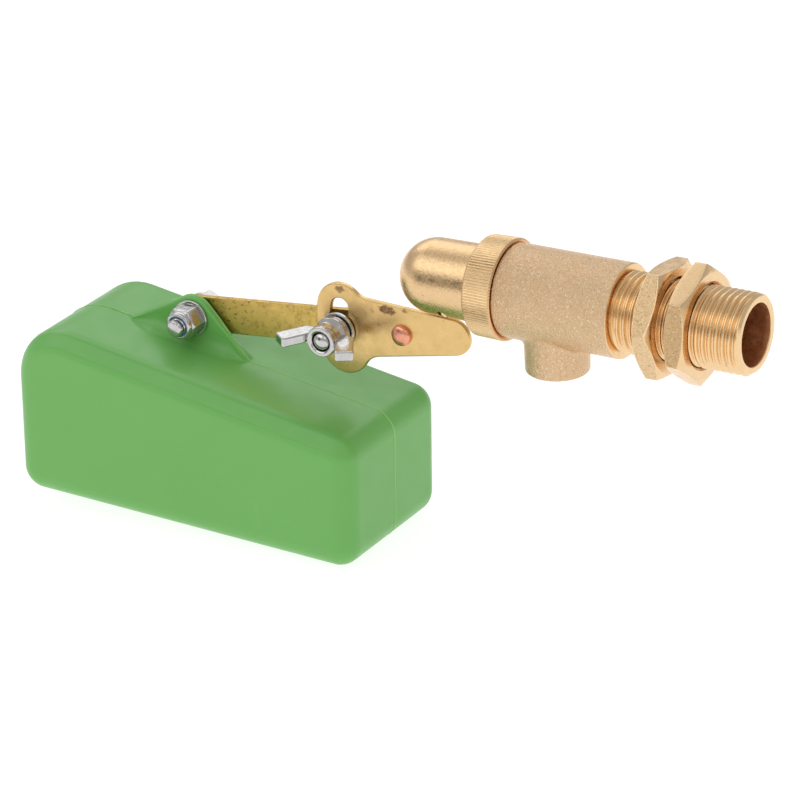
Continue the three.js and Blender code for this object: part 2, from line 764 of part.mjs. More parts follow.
function floatTop(along) {
  return FLOAT_TALL + ((FLOAT_SHORT - FLOAT_TALL) * along) / FLOAT_LENGTH;
}

// The angle on the lug's round tip where a straight line from a foot on the float's top touches it.
function tangentOnTip(foot, tip, radius, side) {
  const toFoot = foot.clone().sub(tip);
  const spread = Math.acos(radius / toFoot.length());
  const angle = toFoot.angle() + side * spread;
  return angle;
}

function floatLug() {
  const tip = floatBoltInFloat();
  const sink = 1.2;
  const leftFoot = new THREE.Vector2(LUG_LEFT, floatTop(LUG_LEFT) - sink);
  const rightFoot = new THREE.Vector2(LUG_RIGHT, floatTop(LUG_RIGHT) - sink);
  const left = tangentOnTip(leftFoot, tip, LUG_TIP_R, -1);
  const right = tangentOnTip(rightFoot, tip, LUG_TIP_R, 1);
  const shape = new THREE.Shape();
  shape.moveTo(leftFoot.x, leftFoot.y);
  shape.lineTo(rightFoot.x, rightFoot.y);
  shape.absarc(tip.x, tip.y, LUG_TIP_R, right, left, false);
  const lug = plateSolid(shape, -LUG_FORE, LUG_AFT);
  return lug.subtract(cylinderY(BOLT_HOLE_R, -2 * LUG_FORE, 2 * LUG_AFT, tip.x, tip.y));
}

function floatShell() {
  const blowHole = cylinderX(PLUG_R + 0.2, -1, FLOAT_WALL + 1).translate([0, 0, PLUG_HEIGHT]);
  const shell = floatBlock(0).subtract(floatBlock(FLOAT_WALL));
  return shell.add(floatLug()).subtract(blowHole);
}

function floatPlug() {
  return turnedX([
    [-GAP - PLUG_HEAD, 0],
    [-GAP - PLUG_HEAD, PLUG_HEAD_R - 0.3],
    [-GAP - PLUG_HEAD + 0.3, PLUG_HEAD_R],
    [-GAP, PLUG_HEAD_R],
    [-GAP, PLUG_R],
    [FLOAT_WALL + 1.2, PLUG_R],
    [FLOAT_WALL + 1.8, PLUG_R - 0.5],
    [FLOAT_WALL + 1.8, 0],
  ], SMALL_ROUND).translate([0, 0, PLUG_HEIGHT]);
}

// ---------------------------------------------------------------- assembly
place(model, 'valve_body', valveBody(), castBrass());

const outerNut = groupAt(OUTER_NUT_X, 0, 0);
outerNut.rotation.x = radians(OUTER_NUT_TURN);
place(outerNut, 'lock_nut_outer', lockNut(), turnedBrass());
const innerNut = groupAt(INNER_NUT_X, 0, 0);
innerNut.rotation.x = radians(INNER_NUT_TURN);
place(innerNut, 'lock_nut_inner', lockNut(), turnedBrass());

place(model, 'ring_nut', ringNut(), castBrass());
place(model, 'dome_cap', domeCap(), turnedBrass());
place(groupAt(PIVOT_X, 0, PIVOT_Z), 'pivot_pin', pivotPin(), zincSteel());

place(model, 'piston', piston(), turnedBrass());
place(model, 'piston_seal', pistonSeal(), blackRubber());
place(model, 'piston_o_ring', pistonORing(), blackRubber());

const lever = groupAt(RIVET_X, 0, RIVET_Z, radians(LEVER_TILT));
place(lever, 'lever_plate', leverPlate(), sheetBrass());
place(lever, 'lever_rivet', leverRivet(), copper());
place(groupAt(RIVET_X, 0, RIVET_Z, ARM_TILT), 'arm_bar', armBar(), dullBrass());

const clamp = groupAt(WING_BOLT_X, 0, WING_BOLT_Z);
const flatWasherSeat = LEVER_FRONT - GAP;
const springWasherSeat = flatWasherSeat - WASHER_THICK - GAP;
const wingNutSeat = springWasherSeat - SPRING_WASHER_THICK - GAP;
const wingBoltEnd = wingNutSeat - WING_NUT_LENGTH - 0.5;
place(clamp, 'wing_bolt', hexBolt(BAR_BACK + GAP, wingBoltEnd, true), zincSteel());
const flatWasher = washer(flatWasherSeat - WASHER_THICK, WASHER_THICK, WASHER_R);
place(clamp, 'wing_flat_washer', flatWasher, zincSteel());
place(clamp, 'wing_spring_washer', springWasher(springWasherSeat - SPRING_WASHER_THICK), zincSteel());
const wing = place(clamp, 'wing_nut', wingNut(wingNutSeat), zincSteel());
wing.rotation.y = radians(WING_TURN);

const joint = groupAt(FLOAT_BOLT_X, 0, FLOAT_BOLT_Z);
const lugWasherSeat = LUG_FRONT - GAP;
const lugNutSeat = lugWasherSeat - WASHER_THICK - GAP;
const rearWasherFront = BAR_BACK + GAP;
const lugWasher = washer(lugWasherSeat - WASHER_THICK, WASHER_THICK, WASHER_R);
place(joint, 'float_washer_front', lugWasher, zincSteel());
place(joint, 'float_lock_nut', floatLockNut(lugNutSeat), zincSteel());
place(joint, 'float_nut_insert', nylonInsert(lugNutSeat), bluePlastic());
const rearWasher = washer(rearWasherFront, WASHER_THICK, WASHER_R);
place(joint, 'float_washer_rear', rearWasher, zincSteel());
const floatBolt = hexBolt(rearWasherFront + WASHER_THICK + GAP, FLOAT_BOLT_END, false);
place(joint, 'float_bolt', floatBolt, zincSteel());

const float = groupAt(FLOAT_X, FLOAT_Y, FLOAT_Z, -radians(FLOAT_PITCH));
place(float, 'float_shell', floatShell(), greenPlastic());
place(float, 'float_plug', floatPlug(), greenPlastic());

export default model;
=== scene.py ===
"""Looks of the brass float valve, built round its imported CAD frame.

Sizes are in millimetres until a mesh is made, apart from the camera, lights and floor, which are in metres.
"""
import math

import bmesh
import bpy
import numpy as np
from mathutils import Matrix, Vector
from mathutils.geometry import tessellate_polygon


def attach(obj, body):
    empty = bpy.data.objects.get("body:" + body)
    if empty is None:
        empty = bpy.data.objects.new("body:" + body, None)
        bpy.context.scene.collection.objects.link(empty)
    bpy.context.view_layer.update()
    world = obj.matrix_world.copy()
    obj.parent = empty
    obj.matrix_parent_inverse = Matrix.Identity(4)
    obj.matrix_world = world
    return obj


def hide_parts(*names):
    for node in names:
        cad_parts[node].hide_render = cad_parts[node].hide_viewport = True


MM = 0.001
TAU = 2 * math.pi


def new_object(name, data):
    obj = bpy.data.objects.new(name, data)
    bpy.context.scene.collection.objects.link(obj)
    return obj


def aimed(spot, target):
    """The matrix of a camera or lamp at spot that looks at target."""
    return Matrix.Translation(spot) @ (target - spot).to_track_quat("-Z", "Y").to_matrix().to_4x4()


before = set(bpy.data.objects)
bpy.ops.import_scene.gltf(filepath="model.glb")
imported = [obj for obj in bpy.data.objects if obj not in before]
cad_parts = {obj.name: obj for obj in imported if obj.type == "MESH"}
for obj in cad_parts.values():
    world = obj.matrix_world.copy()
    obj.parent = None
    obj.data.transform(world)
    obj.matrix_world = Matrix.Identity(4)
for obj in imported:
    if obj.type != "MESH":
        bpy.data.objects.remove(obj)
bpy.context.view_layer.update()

# Camera
CAMERA_AT = Vector((0.43238, -0.86176, 0.41407))
CAMERA_AIM = Vector((-0.103775, 0.0, -0.037322))
CAMERA_ROLL = -2.651
LENS = 191.955


def make_camera():
    data = bpy.data.cameras.new("camera")
    data.lens = LENS
    data.sensor_width = 36
    data.clip_start = 0.01
    camera = new_object("camera", data)
    camera.matrix_world = aimed(CAMERA_AT, CAMERA_AIM) @ Matrix.Rotation(math.radians(CAMERA_ROLL), 4, "Z")
    bpy.context.scene.camera = camera


# Points and profiles
def arc(x, z, radius, start, end, steps):
    """Points on an arc in a plane, from one angle to another in degrees."""
    turns = np.radians(np.linspace(start, end, steps + 1))
    return [(x + radius * math.cos(a), z + radius * math.sin(a)) for a in turns]


def bend(start, middle, end, t):
    """A point on the quadratic curve from start to end that leans towards middle."""
    return (1 - t) ** 2 * start + 2 * t * (1 - t) * middle + t * t * end


def soften(corners, steps=4):
    """A closed profile from (station, radius, fillet) corners, each rounded by its fillet."""
    points = []
    count = len(corners)
    for i, (s, r, fillet) in enumerate(corners):
        here = np.array((s, r), float)
        if fillet <= 0:
            points.append(tuple(here))
            continue
        before = np.array(corners[i - 1][:2], float) - here
        after = np.array(corners[(i + 1) % count][:2], float) - here
        before /= np.linalg.norm(before)
        after /= np.linalg.norm(after)
        half = math.acos(max(-1, min(1, float(before @ after)))) / 2
        run = fillet / math.tan(half)
        start, end = here + before * run, here + after * run
        for k in range(steps + 1):
            points.append(tuple(bend(start, here, end, k / steps)))
    return points


def refine(profile, step):
    """Adds points along a closed profile so that no span is longer than step."""
    points = []
    for i, here in enumerate(profile):
        there = profile[(i + 1) % len(profile)]
        spans = max(1, math.ceil(math.dist(here, there) / step))
        for k in range(spans):
            t = k / spans
            points.append((here[0] + t * (there[0] - here[0]), here[1] + t * (there[1] - here[1])))
    return points


def turned(profile, segments, axis="x"):
    """A grid of points: each row is the profile's (station, radius) pairs at one angle about the axis."""
    stations = np.array(profile, float)
    angles = np.linspace(0, TAU, segments, endpoint=False)[:, None]
    along = np.broadcast_to(stations[:, 0], (segments, len(profile)))
    across, up = stations[:, 1] * np.cos(angles), stations[:, 1] * np.sin(angles)
    return np.stack((along, across, up) if axis == "x" else (across, along, up), axis=-1)


def turned_ring(corners, fillet_steps, step, segments, axis="x"):
    """A turned grid of a closed profile whose corners are softened and whose long sides are refined."""
    return turned(refine(soften(corners, fillet_steps), step), segments, axis)


def quads(rows, columns, start=0, wrap_rows=True, wrap_columns=True):
    """Faces over a grid of points numbered row by row."""
    faces = []
    for i in range(rows if wrap_rows else rows - 1):
        for j in range(columns if wrap_columns else columns - 1):
            i2, j2 = (i + 1) % rows, (j + 1) % columns
            faces.append((start + i * columns + j, start + i2 * columns + j,
                          start + i2 * columns + j2, start + i * columns + j2))
    return faces


def grid_mesh(grid, **wraps):
    rows, columns = grid.shape[:2]
    return grid.reshape(-1, 3), quads(rows, columns, **wraps)


def about_y(grid, angle):
    """Turns points about the Y axis through the origin, by degrees."""
    c, s = math.cos(math.radians(angle)), math.sin(math.radians(angle))
    points = np.array(grid, float)
    x, z = points[..., 0].copy(), points[..., 2].copy()
    points[..., 0], points[..., 2] = c * x + s * z, -s * x + c * z
    return points


# Meshes
def mesh_object(name, verts, faces):
    """An object from points in millimetres, with double points joined and its normals outward."""
    mesh = bpy.data.meshes.new(name)
    mesh.from_pydata((np.asarray(verts, float) * MM).tolist(), [], [tuple(f) for f in faces])
    bm = bmesh.new()
    bm.from_mesh(mesh)
    bmesh.ops.remove_doubles(bm, verts=bm.verts, dist=1e-7)
    bmesh.ops.dissolve_degenerate(bm, edges=bm.edges, dist=1e-8)
    bmesh.ops.recalc_face_normals(bm, faces=bm.faces)
    bm.to_mesh(mesh)
    bm.free()
    return new_object(name, mesh)


def apply_modifiers(obj):
    bpy.context.view_layer.update()
    depsgraph = bpy.context.evaluated_depsgraph_get()
    mesh = bpy.data.meshes.new_from_object(obj.evaluated_get(depsgraph))
    obj.modifiers.clear()
    obj.data = mesh


def cut(obj, *cutters):
    """Takes each cutter, an object, away from obj."""
    for cutter in cutters:
        modifier = obj.modifiers.new("cut", "BOOLEAN")
        modifier.operation = "DIFFERENCE"
        modifier.solver = "EXACT"
        modifier.object = cutter
        apply_modifiers(obj)
        bpy.data.objects.remove(cutter)
    return obj


def finish_piece(obj, body, paints, pick=None, stands_for=(), angle=30):
    """Gives a mesh its paints, shading and body, and hides the CAD nodes it stands for.
    pick gives a face's paint number from its centre and normal, and angle is where edges turn sharp."""
    mesh = obj.data
    mesh.materials.clear()
    for paint in paints:
        mesh.materials.append(paint)
    if pick is not None:
        for face in mesh.polygons:
            face.material_index = pick(face.center / MM, face.normal)
    mesh.polygons.foreach_set("use_smooth", [True] * len(mesh.polygons))
    mesh.set_sharp_from_angle(angle=math.radians(angle))
    weighted = obj.modifiers.new("weighted", "WEIGHTED_NORMAL")
    weighted.keep_sharp = True
    weighted.weight = 80
    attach(obj, body)
    if stands_for:
        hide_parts(*stands_for)
    return obj


# Paints
class Paint:
    """A procedural material: helpers that add nodes and hand back their output."""

    def __init__(self, name):
        self.material = bpy.data.materials.new(name)
        self.material.use_nodes = True
        self.tree = self.material.node_tree
        self.shader = self.tree.nodes["Principled BSDF"]
        self.place = self.add("ShaderNodeTexCoord").outputs["Object"]

    def add(self, kind, **settings):
        node = self.tree.nodes.new(kind)
        for key, value in settings.items():
            setattr(node, key, value)
        return node

    def plug(self, node, socket, value):
        target = node.inputs[socket]
        if isinstance(value, bpy.types.NodeSocket):
            self.tree.links.new(value, target)
        elif isinstance(value, (tuple, list)) and len(value) == 3 and len(target.default_value) == 4:
            target.default_value = (*value, 1)
        else:
            target.default_value = value

    def set(self, **values):
        for key, value in values.items():
            self.plug(self.shader, key.replace("_", " "), value)
        return self

    def noise(self, size, detail=3, rough=0.5, place=None):
        """Noise whose features are about size millimetres across, from 0 to 1."""
        node = self.add("ShaderNodeTexNoise")
        self.plug(node, "Vector", place or self.place)
        self.plug(node, "Scale", 1 / (size * MM))
        self.plug(node, "Detail", detail)
        self.plug(node, "Roughness", rough)
        return node.outputs["Fac"]

    def cells(self, size):
        """Distance to the nearest of random points about size millimetres apart."""
        node = self.add("ShaderNodeTexVoronoi")
        self.plug(node, "Vector", self.place)
        self.plug(node, "Scale", 1 / (size * MM))
        return node.outputs["Distance"]

    def stretched(self, scale):
        node = self.add("ShaderNodeMapping")
        self.plug(node, "Vector", self.place)
        self.plug(node, "Scale", scale)
        return node.outputs["Vector"]

    def parts(self):
        node = self.add("ShaderNodeSeparateXYZ")
        self.plug(node, "Vector", self.place)
        return node.outputs

    def calc(self, operation, a, b=0.0):
        node = self.add("ShaderNodeMath", operation=operation)
        self.plug(node, 0, a)
        self.plug(node, 1, b)
        return node.outputs[0]

    def times(self, a, b):
        return self.calc("MULTIPLY", a, b)

    def span(self, value, low, high, to_low=0.0, to_high=1.0):
        """Maps low..high smoothly to to_low..to_high."""
        node = self.add("ShaderNodeMapRange", interpolation_type="SMOOTHSTEP")
        for socket, item in (("Value", value), ("From Min", low), ("From Max", high),
                             ("To Min", to_low), ("To Max", to_high)):
            self.plug(node, socket, item)
        return node.outputs["Result"]

    def mix(self, factor, a, b):
        """Two colours mixed: each is another node's output or an sRGB triple."""
        node = self.add("ShaderNodeMix", data_type="RGBA")
        self.plug(node, 0, factor)
        for socket, colour in ((6, a), (7, b)):
            given = isinstance(colour, bpy.types.NodeSocket)
            self.plug(node, socket, colour if given else (*linear(*colour), 1))
        return node.outputs[2]

    def tint(self, tone, mask, amount, colour):
        """A tone with part of a colour laid over it where a mask is 1."""
        return self.mix(self.times(mask, amount), tone, colour)

    def gloss(self, size, low, high, detail=3):
        """A roughness that wanders between two values."""
        return self.span(self.noise(size, detail), 0.3, 0.7, low, high)

    def bump(self, height, depth, strength=1.0, after=None):
        """A bump of depth millimetres, on top of another bump if one is given."""
        node = self.add("ShaderNodeBump")
        self.plug(node, "Height", height)
        self.plug(node, "Distance", depth * MM)
        self.plug(node, "Strength", strength)
        if after is not None:
            self.plug(node, "Normal", after)
        return node.outputs["Normal"]

    def rings(self, size):
        """Fine turning marks about the X axis, on its cylinders and its end faces alike."""
        x, y, z = self.parts()
        radius = self.calc("SQRT", self.calc("ADD", self.times(y, y), self.times(z, z)))
        join = self.add("ShaderNodeCombineXYZ")
        self.plug(join, 0, x)
        self.plug(join, 1, radius)
        return self.noise(size, detail=2, rough=0.6, place=join.outputs[0])

    def near(self, at, radius, soft=0.5):
        """1 within radius of at, an (x, z, narrowing along x), with a ragged soft edge, else 0."""
        x, _, z = self.parts()
        dx = self.times(self.calc("SUBTRACT", x, at[0] * MM), at[2])
        dz = self.calc("SUBTRACT", z, at[1] * MM)
        far = self.calc("SQRT", self.calc("ADD", self.times(dx, dx), self.times(dz, dz)))
        ragged = self.times(self.calc("SUBTRACT", self.noise(0.9), 0.5), 1.6 * MM)
        return self.span(self.calc("ADD", far, ragged), radius * MM, (radius - soft) * MM, 0.0, 1.0)


def linear(red, green, blue):
    """An sRGB colour, 0 to 255, as linear light."""
    return tuple(((c / 255 + 0.055) / 1.055) ** 2.4 for c in (red, green, blue))


def cast_brass():
    p = Paint("cast_brass")
    tone = p.mix(p.noise(6, detail=4), (216, 182, 142), (226, 192, 152))
    # Bright flecks on the cast brass are painted glints, the sparkle of light off its grain.
    fleck_and_glint = p.span(p.noise(0.5, detail=2, rough=0.6), 0.56, 0.70)
    colour = p.tint(tone, fleck_and_glint, 0.65, (254, 240, 216))
    shade = p.span(p.noise(0.8, rough=0.6), 0.44, 0.32)
    colour = p.tint(colour, shade, 0.30, (170, 134, 94))
    pits = p.times(p.span(p.cells(1.9), 0.16, 0.05), p.span(p.noise(3.5), 0.52, 0.66))
    colour = p.tint(colour, pits, 0.45, (150, 112, 76))
    grain = p.bump(p.noise(0.5, rough=0.65), 0.34, 1.0)
    grain = p.bump(p.noise(1.8), 0.12, 0.5, after=grain)
    grain = p.bump(pits, -0.05, 0.6, after=grain)
    p.set(Base_Color=colour, Metallic=1.0, Normal=grain,
          Roughness=p.gloss(0.6, 0.26, 0.38, detail=2))
    return p.material


def turned_brass(name="turned_brass", base=(242, 208, 162), other=(232, 196, 148), rough=(0.22, 0.32)):
    p = Paint(name)
    marks = p.rings(0.16)
    tone = p.mix(p.noise(3.5, detail=4), base, other)
    tone = p.tint(tone, p.span(p.noise(1.3, detail=4), 0.60, 0.75), 0.25, (186, 138, 88))
    p.set(Base_Color=tone, Metallic=1.0, Normal=p.bump(marks, 0.012, 0.5),
          Roughness=p.span(p.noise(1.8), 0.35, 0.7, *rough))
    return p.material


def nut_flat(name, base, other, rough, grain_size, grain_depth):
    """A nut's flat as it came from the mould: sandy and speckled, with bright painted glints."""
    p = Paint(name)
    tone = p.mix(p.noise(2.2, detail=5, rough=0.6), base, other)
    specks = p.span(p.noise(0.55, rough=0.65), 0.53, 0.66)
    tone = p.tint(tone, specks, 0.55, (154, 120, 80))
    glints = p.span(p.noise(0.45, detail=2, place=p.stretched((1.0, 1.1, 0.9))), 0.58, 0.70)
    tone = p.tint(tone, glints, 0.5, (252, 234, 204))
    sand = p.bump(p.noise(grain_size, rough=0.7), grain_depth, 0.9)
    sand = p.bump(p.noise(1.4), 0.08, 0.5, after=sand)
    p.set(Base_Color=tone, Metallic=1.0, Normal=sand, Roughness=p.gloss(0.7, *rough))
    return p.material


def knurled_brass():
    p = Paint("knurled_brass")
    tone = p.mix(p.noise(2.5, detail=4), (232, 200, 154), (222, 188, 142))
    tone = p.tint(tone, p.span(p.noise(0.9), 0.58, 0.72), 0.3, (250, 230, 196))
    wear = p.bump(p.noise(0.7), 0.08, 0.8)
    p.set(Base_Color=tone, Metallic=1.0, Normal=wear, Roughness=p.gloss(1.2, 0.26, 0.38))
    return p.material


def polished_brass():
    p = Paint("polished_brass")
    tone = p.mix(p.noise(5, detail=4), (232, 198, 152), (224, 188, 142))
    fleck_and_glint = p.span(p.noise(0.6, rough=0.6), 0.55, 0.70)
    tone = p.tint(tone, fleck_and_glint, 0.25, (190, 154, 106))
    pits = p.times(p.span(p.cells(2.3), 0.12, 0.03), p.span(p.noise(4.5), 0.50, 0.62))
    tone = p.tint(tone, pits, 0.6, (140, 104, 60))
    sand = p.bump(p.noise(0.6, rough=0.6), 0.075, 0.8)
    sand = p.bump(p.noise(3.2, detail=2), 0.06, 0.5, after=sand)
    sand = p.bump(pits, -0.06, 0.8, after=sand)
    p.set(Base_Color=tone, Metallic=1.0, Normal=sand, Roughness=p.gloss(0.9, 0.24, 0.34))
    return p.material


# The lever's painted reflections of the wing nut, as brown spots: centre (x, z, narrowing along x), radius and
# darkness
NUT_REFLECTIONS = (((-120.2, -8.7, 0.7), 1.2, 0.8), ((-106.1, -12.1, 0.5), 1.45, 1.0),
          ((-100.6, -11.4, 0.8), 0.8, 0.8), ((-108.7, -16.5, 1.0), 0.85, 0.7),
          ((-110.6, -13.0, 1.0), 0.8, 0.35), ((-89.0, -12.0, 1.0), 0.5, 0.35))


def sheet_brass():
    p = Paint("sheet_brass")
    tone = p.mix(p.noise(7), (228, 194, 134), (218, 182, 120))
    tone = p.tint(tone, p.span(p.noise(2.6, detail=4), 0.55, 0.75), 0.22, (196, 146, 88))
    nut_reflection = None
    # The brown spots are painted dark reflections of the wing nut in the polished lever.
    for at, radius, depth in NUT_REFLECTIONS:
        spot = p.times(p.near(at, radius), depth)
        nut_reflection = spot if nut_reflection is None else p.calc("MAXIMUM", nut_reflection, spot)
    ring = p.times(nut_reflection, p.span(p.noise(0.8), 0.25, 0.6, 0.55, 0.9))
    tone = p.mix(ring, tone, (122, 80, 54))
    skin = p.bump(p.noise(1.1, detail=2), 0.010, 0.7)
    skin = p.bump(p.noise(6, detail=2), 0.16, 0.5, after=skin)
    rough = p.gloss(2.6, 0.26, 0.34, detail=2)
    p.set(Base_Color=tone, Metallic=p.span(nut_reflection, 0.0, 1.0, 1.0, 0.55), Normal=skin,
          Roughness=p.calc("ADD", rough, p.times(nut_reflection, 0.2)))
    return p.material


def dull_brass():
    p = Paint("dull_brass")
    tone = p.mix(p.noise(6, detail=4), (228, 192, 114), (212, 176, 96))
    mottle = p.span(p.noise(2.4, detail=6, rough=0.7), 0.50, 0.68)
    tone = p.tint(tone, mottle, 0.55, (150, 122, 56))
    along = p.span(p.parts()[0], -0.135, -0.160, 0.62, 0.555)
    blotch = p.span(p.calc("SUBTRACT", p.noise(1.1, detail=5, rough=0.66), along), 0.0, 0.06)
    tone = p.tint(tone, blotch, 0.75, (98, 68, 26))
    rusty = p.span(p.noise(4, detail=4), 0.56, 0.72)
    tone = p.tint(tone, rusty, 0.35, (206, 156, 96))
    skin = p.bump(p.noise(0.8, detail=4), 0.03, 0.7)
    skin = p.bump(p.noise(5, detail=2), 0.08, 0.4, after=skin)
    p.set(Base_Color=tone, Metallic=p.span(mottle, 0.0, 1.0, 0.95, 0.75), Normal=skin,
          Roughness=p.gloss(1.4, 0.30, 0.46, detail=4))
    return p.material


def copper():
    p = Paint("copper")
    tone = p.mix(p.noise(1.4, detail=4), (238, 172, 144), (226, 150, 122))
    dents = p.bump(p.noise(1.3), 0.05, 0.7)
    p.set(Base_Color=tone, Metallic=1.0, Normal=dents, Roughness=p.gloss(0.9, 0.24, 0.36))
    return p.material


def plated_steel(name="plated_steel", base=(206, 204, 202), other=(186, 184, 184), rough=(0.10, 0.22)):
    p = Paint(name)
    tone = p.mix(p.noise(2.4, detail=4), base, other)
    tone = p.tint(tone, p.span(p.noise(1.1, detail=5, rough=0.6), 0.60, 0.74), 0.4, (134, 128, 122))
    skin = p.bump(p.noise(0.5), 0.012, 0.7)
    skin = p.bump(p.noise(1.9, detail=2), 0.05, 0.5, after=skin)
    p.set(Base_Color=tone, Metallic=1.0, Normal=skin, Roughness=p.gloss(1.2, *rough))
    return p.material


def green_plastic(name="green_plastic", base=(111, 181, 90), other=(106, 175, 85), rough=(0.30, 0.40)):
    p = Paint(name)
    tone = p.mix(p.noise(28), base, other)
    scuff = p.span(p.noise(9, detail=6, rough=0.7), 0.60, 0.78)
    tone = p.tint(tone, scuff, 0.12, (150, 200, 132))
    skin = p.bump(p.noise(0.9), 0.012, 0.5)
    skin = p.bump(p.noise(16, detail=2), 0.25, 0.3, after=skin)
    p.set(Base_Color=tone, Normal=skin, Roughness=p.gloss(6, *rough, detail=4),
          IOR=1.5, Subsurface_Weight=0.12, Subsurface_Scale=0.004, Subsurface_Radius=(0.5, 1.0, 0.4))
    return p.material


def moulded(name, base, other, rough):
    p = Paint(name)
    tone = p.mix(p.noise(1.8, detail=4), base, other)
    skin = p.bump(p.noise(0.6), 0.02, 0.6)
    p.set(Base_Color=tone, Normal=skin, Roughness=p.gloss(1.1, *rough))
    return p.material


CAST = cast_brass()
TURNED = turned_brass()
# A darker, more orange copy of the turned brass for the nuts' bores and mouths, the ring's bore and right face
# and the cap's inside: painted shade and painted reflection of the brass round them.
RECESS_SHADE = turned_brass("recess_shade_brass", (230, 186, 138), (216, 168, 118), (0.2, 0.32))
# A darker, more orange copy of the turned brass for the stem's bore: painted shade inside it.
BORE = turned_brass("bore_shade_brass", (238, 186, 138), (224, 168, 118), (0.38, 0.5))
NUT_SANDY = nut_flat("nut_sandy", (232, 200, 156), (222, 188, 142), (0.26, 0.36), 0.5, 0.24)
NUT_DULL = nut_flat("nut_dull", (220, 186, 140), (208, 172, 124), (0.34, 0.46), 0.5, 0.14)
NUT_SMOOTH = turned_brass("nut_smooth", (238, 206, 162), (230, 194, 148), (0.22, 0.32))
KNURLED = knurled_brass()
POLISHED = polished_brass()
SHEET = sheet_brass()
DULL = dull_brass()
COPPER = copper()
STEEL = plated_steel()
DARK_STEEL = plated_steel("dark_steel", (196, 194, 192), (172, 170, 168), (0.2, 0.32))
GREEN = green_plastic()
FLASH = green_plastic("green_flash", (150, 206, 122), (140, 198, 112), (0.4, 0.5))
BLUE = moulded("blue_nylon", (84, 134, 170), (62, 108, 146), (0.32, 0.44))
RUBBER = moulded("black_rubber", (34, 34, 34), (26, 26, 26), (0.6, 0.75))

# Threaded inlet stem
STEM_R = 10.48
STEM_END = -35.6
PITCH = 1.814
THREAD_DEPTH = 0.85
INLET_BORE_R = 8.0


def threaded(grid, pitch, depth, start, end, run_out, least):
    """Cuts a helical groove about X into points of a turned grid that lie further out than least."""
    x, y, z = grid[..., 0], grid[..., 1], grid[..., 2]
    radius = np.hypot(y, z)
    turn = np.arctan2(z, y) / TAU
    wave = 0.5 - 0.5 * np.cos(TAU * (x / pitch + turn))
    wave = np.clip(wave * 1.12 - 0.06, 0, 1)
    fade = np.clip((start - x) / run_out, 0, 1) * np.clip((x - end) / run_out, 0, 1)
    groove = depth * wave * fade * (radius > least)
    scale = np.where(radius > 0, (radius - groove) / np.maximum(radius, 1e-9), 1)
    out = grid.copy()
    out[..., 1] *= scale
    out[..., 2] *= scale
    return out


def inlet_stem():
    outside = [(x, STEM_R) for x in np.arange(-0.65, -35.0, -PITCH / 12)]
    profile = [(-0.25, INLET_BORE_R), (-0.05, INLET_BORE_R + 0.22), (0, INLET_BORE_R + 0.5),
               (0, STEM_R - 0.8), (-0.06, STEM_R - 0.64), (-0.4, STEM_R - 0.22), *outside,
               (-35.1, STEM_R - 0.2), (-35.2, 9.8), (-36.2, 9.75), (-36.3, 8.2), (-36.0, INLET_BORE_R + 0.1),
               *((x, INLET_BORE_R) for x in np.arange(-35, -0.6, 1.5))]
    grid = threaded(turned(profile, 168), PITCH, THREAD_DEPTH, 0.3, -35.2, 1.0, 8.9)
    obj = mesh_object("inlet_stem", *grid_mesh(grid))
    inside = lambda c, n: 1 if math.hypot(c.y, c.z) < INLET_BORE_R + 0.15 and c.x < -0.3 else 0
    finish_piece(obj, "valve", [TURNED, BORE], inside, ["valve_body"], angle=50)


# Cast barrel with its spout
BARREL_R = 12.25
BARREL_LEFT = -73.2
SPOUT_X = -56.3
SPOUT_R = 8.3
SPOUT_ROOT_R = 8.6
SPOUT_END = -19.7
SPOUT_FILLET = 1.3


